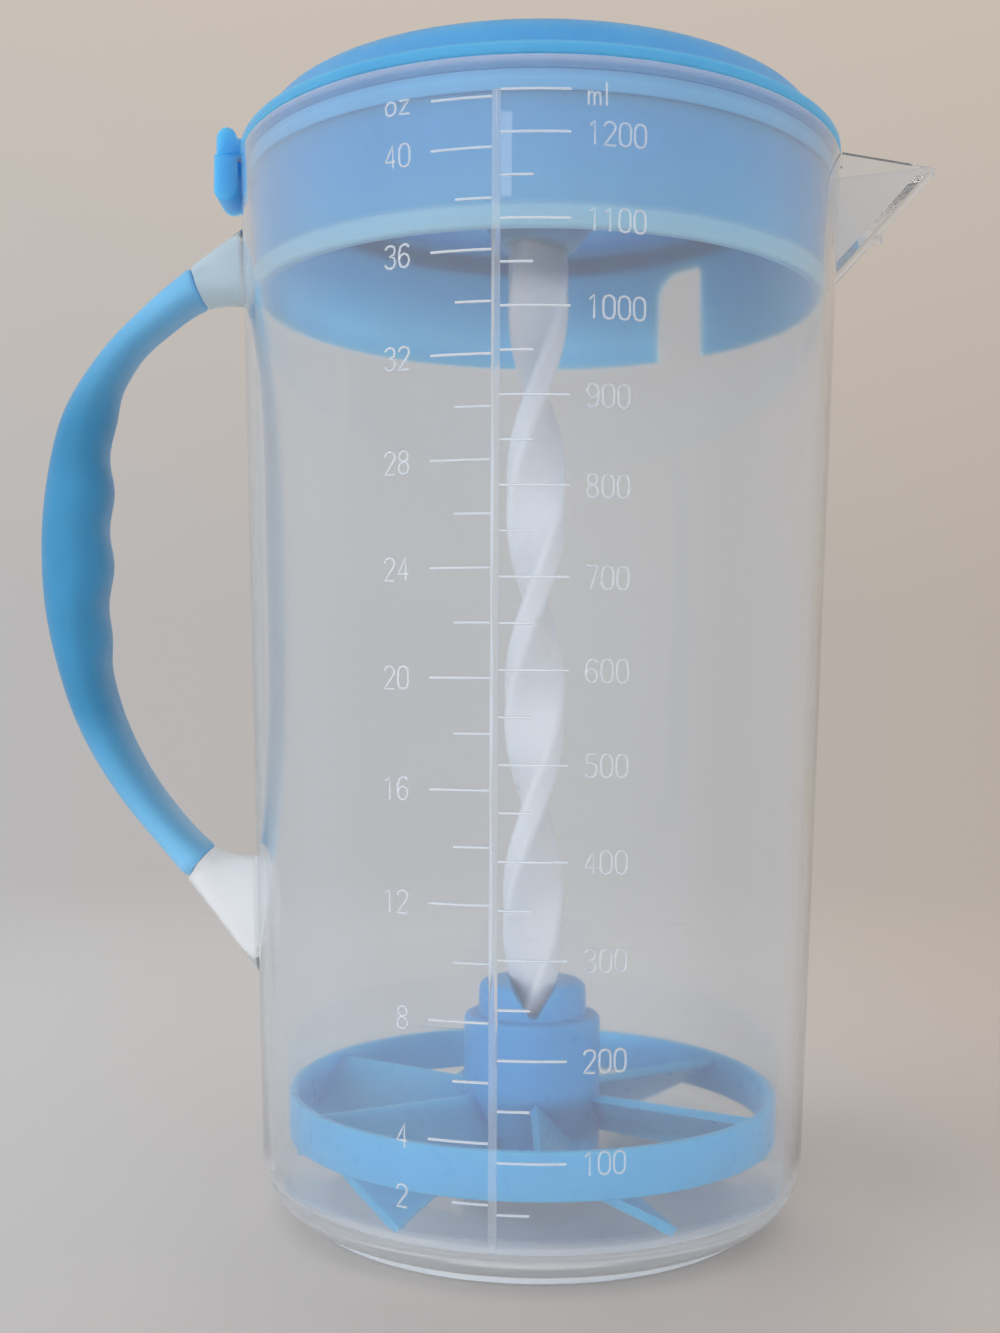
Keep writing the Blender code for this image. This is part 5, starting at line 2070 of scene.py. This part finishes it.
@dataclass
class Studio:
    """Pale floor that fades into a pale backdrop, soft lamps and the camera."""

    floor_half: float = 3.0
    # Painted light on the floor: cool on the left, warmer and darker on the right, for cool light from the
    # left and warm room light
    floor_cool: Colour = (0.69, 0.69, 0.69, 1.0)
    floor_warm: Colour = (0.69, 0.60, 0.54, 1.0)
    floor_side_fade: tuple[float, float] = (-0.15, 0.15)
    floor_edge_fade: tuple[float, float] = (0.06, 0.50)
    floor_drop: float = 0.0002
    # Painted light on the backdrop: cool on the left, warm on the right and paler above
    cool: Colour = (0.49, 0.49, 0.50, 1.0)
    warm: Colour = (0.47, 0.405, 0.35, 1.0)
    high: Colour = (0.65, 0.56, 0.48, 1.0)
    side_fade: tuple[float, float] = (-0.45, 0.45)
    high_fade: tuple[float, float] = (0.05, 0.42)
    high_share: float = 0.65
    room_fade: tuple[float, float] = (-0.3, 0.1)
    room_share: float = 0.35
    ambient: float = 0.52
    lamps: tuple[Softbox, ...] = (
        Softbox("key", (-1.0, -0.5, 0.30), 0.8, 8.5, (0.93, 0.96, 1.0)),
        Softbox("window", (-0.245, -1.0, 0.53), 0.12, 0.14, (1.0, 0.90, 0.88), True),
        Softbox("table_glow", (0.45, -0.85, 0.06), 0.6, 4.0, (0.96, 0.98, 1.0), False, 0.15),
        Softbox("back", (-0.1, 1.0, 0.24), 0.9, 6.0, (1.0, 0.98, 0.95)),
    )

    def floor_material(self) -> Material:
        """Pale floor that keeps the object's shadow near it and fades into the backdrop, with painted
        light: cool on the left, warmer and darker on the right.

        Returns:
            The floor's material.
        """
        sheet = Sheet.named("pale_floor")
        matte = sheet.node("ShaderNodeBsdfDiffuse")
        clear = sheet.node("ShaderNodeBsdfTransparent")
        # Painted light: the floor's colour goes from cool on the left to warm on the right
        across = sheet.spread(sheet.part(sheet.place(), "X"), 0, 1, *self.floor_side_fade)
        sheet.link(sheet.tint(across, self.floor_cool, self.floor_warm), matte.inputs["Color"])
        fade = sheet.spread(sheet.reach(), 0, 1, *self.floor_edge_fade, soft=True)
        mix = sheet.node("ShaderNodeMixShader")
        sheet.link(fade, mix.inputs["Fac"])
        sheet.link(matte.outputs["BSDF"], mix.inputs[1])
        sheet.link(clear.outputs["BSDF"], mix.inputs[2])
        return sheet.output(mix.outputs["Shader"])

    def world(self) -> None:
        """Set the backdrop, the room that gloss mirrors and the even soft light.

        The backdrop has painted light: it is cool on the left, warm on the right and paler above, as light
        falls on it. The room before the object is darker, but only where it is mirrored.
        """
        world = bpy.data.worlds.new("studio")
        bpy.context.scene.world = world
        sheet = Sheet(world)
        view = sheet.node("ShaderNodeTexCoord").outputs["Generated"]
        # Painted light: the backdrop's colour changes from left to right and grows paler above
        side = sheet.spread(sheet.part(view, "X"), 0, 1, *self.side_fade)
        above = sheet.spread(sheet.part(view, "Z"), 0, self.high_share, *self.high_fade)
        backdrop = sheet.tint(above, sheet.tint(side, self.cool, self.warm), self.high)
        seen = sheet.node("ShaderNodeBackground")
        sheet.link(backdrop, seen.inputs["Color"])
        ray = sheet.node("ShaderNodeLightPath")
        before = sheet.spread(sheet.part(view, "Y"), 1 - self.room_share, 0, *self.room_fade)
        glossy, through = ray.outputs["Is Glossy Ray"], ray.outputs["Is Transmission Ray"]
        mirrored = sheet.combine("SUBTRACT", glossy, through)
        loss = sheet.combine("MULTIPLY", before, sheet.spread(mirrored, 0, 1, 0, 1))
        sheet.link(sheet.spread(loss, 1, 0, 0, 1), seen.inputs["Strength"])
        light = sheet.node("ShaderNodeBackground")
        light.inputs["Strength"].default_value = self.ambient
        light.inputs["Color"].default_value = (1.0, 1.0, 1.0, 1.0)
        gloss = sheet.combine("MAXIMUM", ray.outputs["Is Camera Ray"], glossy)
        mix = sheet.node("ShaderNodeMixShader")
        sheet.link(sheet.combine("MAXIMUM", gloss, through), mix.inputs["Fac"])
        sheet.link(light.outputs[0], mix.inputs[1])
        sheet.link(seen.outputs[0], mix.inputs[2])
        end = sheet.node("ShaderNodeOutputWorld")
        sheet.link(mix.outputs[0], end.inputs["Surface"])

    def build(self) -> None:
        """Build the floor, the backdrop, the lamps and the camera."""
        mesh = bpy.data.meshes.new("floor")
        side = self.floor_half
        square = [(-side, -side, 0), (side, -side, 0), (side, side, 0), (-side, side, 0)]
        mesh.from_pydata(square, [], [(0, 1, 2, 3)])
        mesh.materials.append(self.floor_material())
        floor = bpy.data.objects.new("floor", mesh)
        floor.location = (JUG_AXIS, 0, -self.floor_drop)
        bpy.context.scene.collection.objects.link(floor)
        floor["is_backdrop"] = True
        self.world()
        for lamp in self.lamps:
            lamp.build()
        Camera().build()
        bpy.context.scene.view_settings.view_transform = "Standard"


def corners() -> list[list[float]]:
    """Lowest and highest corner of what shows, as plain lists."""
    return [list(corner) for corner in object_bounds()]


def main() -> None:
    """Build the studio and every piece in order, and log each piece's face count."""
    logging.basicConfig(level=logging.INFO, format="%(name)s: %(message)s")
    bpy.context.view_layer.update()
    Studio().build()
    handle, spout, rod, knob, lid = Handle(), Spout(), TwistRod(), Knob(), Lid()
    steps: tuple[Callable[[], object], ...] = (
        lambda: Jug().build(handle, spout),
        handle.build_grip,
        VolumeScale().build,
        lambda: lid.build(rod),
        lid.build_seal,
        lambda: rod.build(knob),
        lambda: knob.build_knob(rod),
        knob.build_cap,
        lambda: knob.build_screw(rod),
        lambda: Wheel().build(rod),
    )
    for step in steps:
        made = step()
        for item in made if isinstance(made, list) else [made]:
            LOG.info("%s: %d faces", item.name, len(item.data.polygons))


if __name__ == "__main__":
    main()
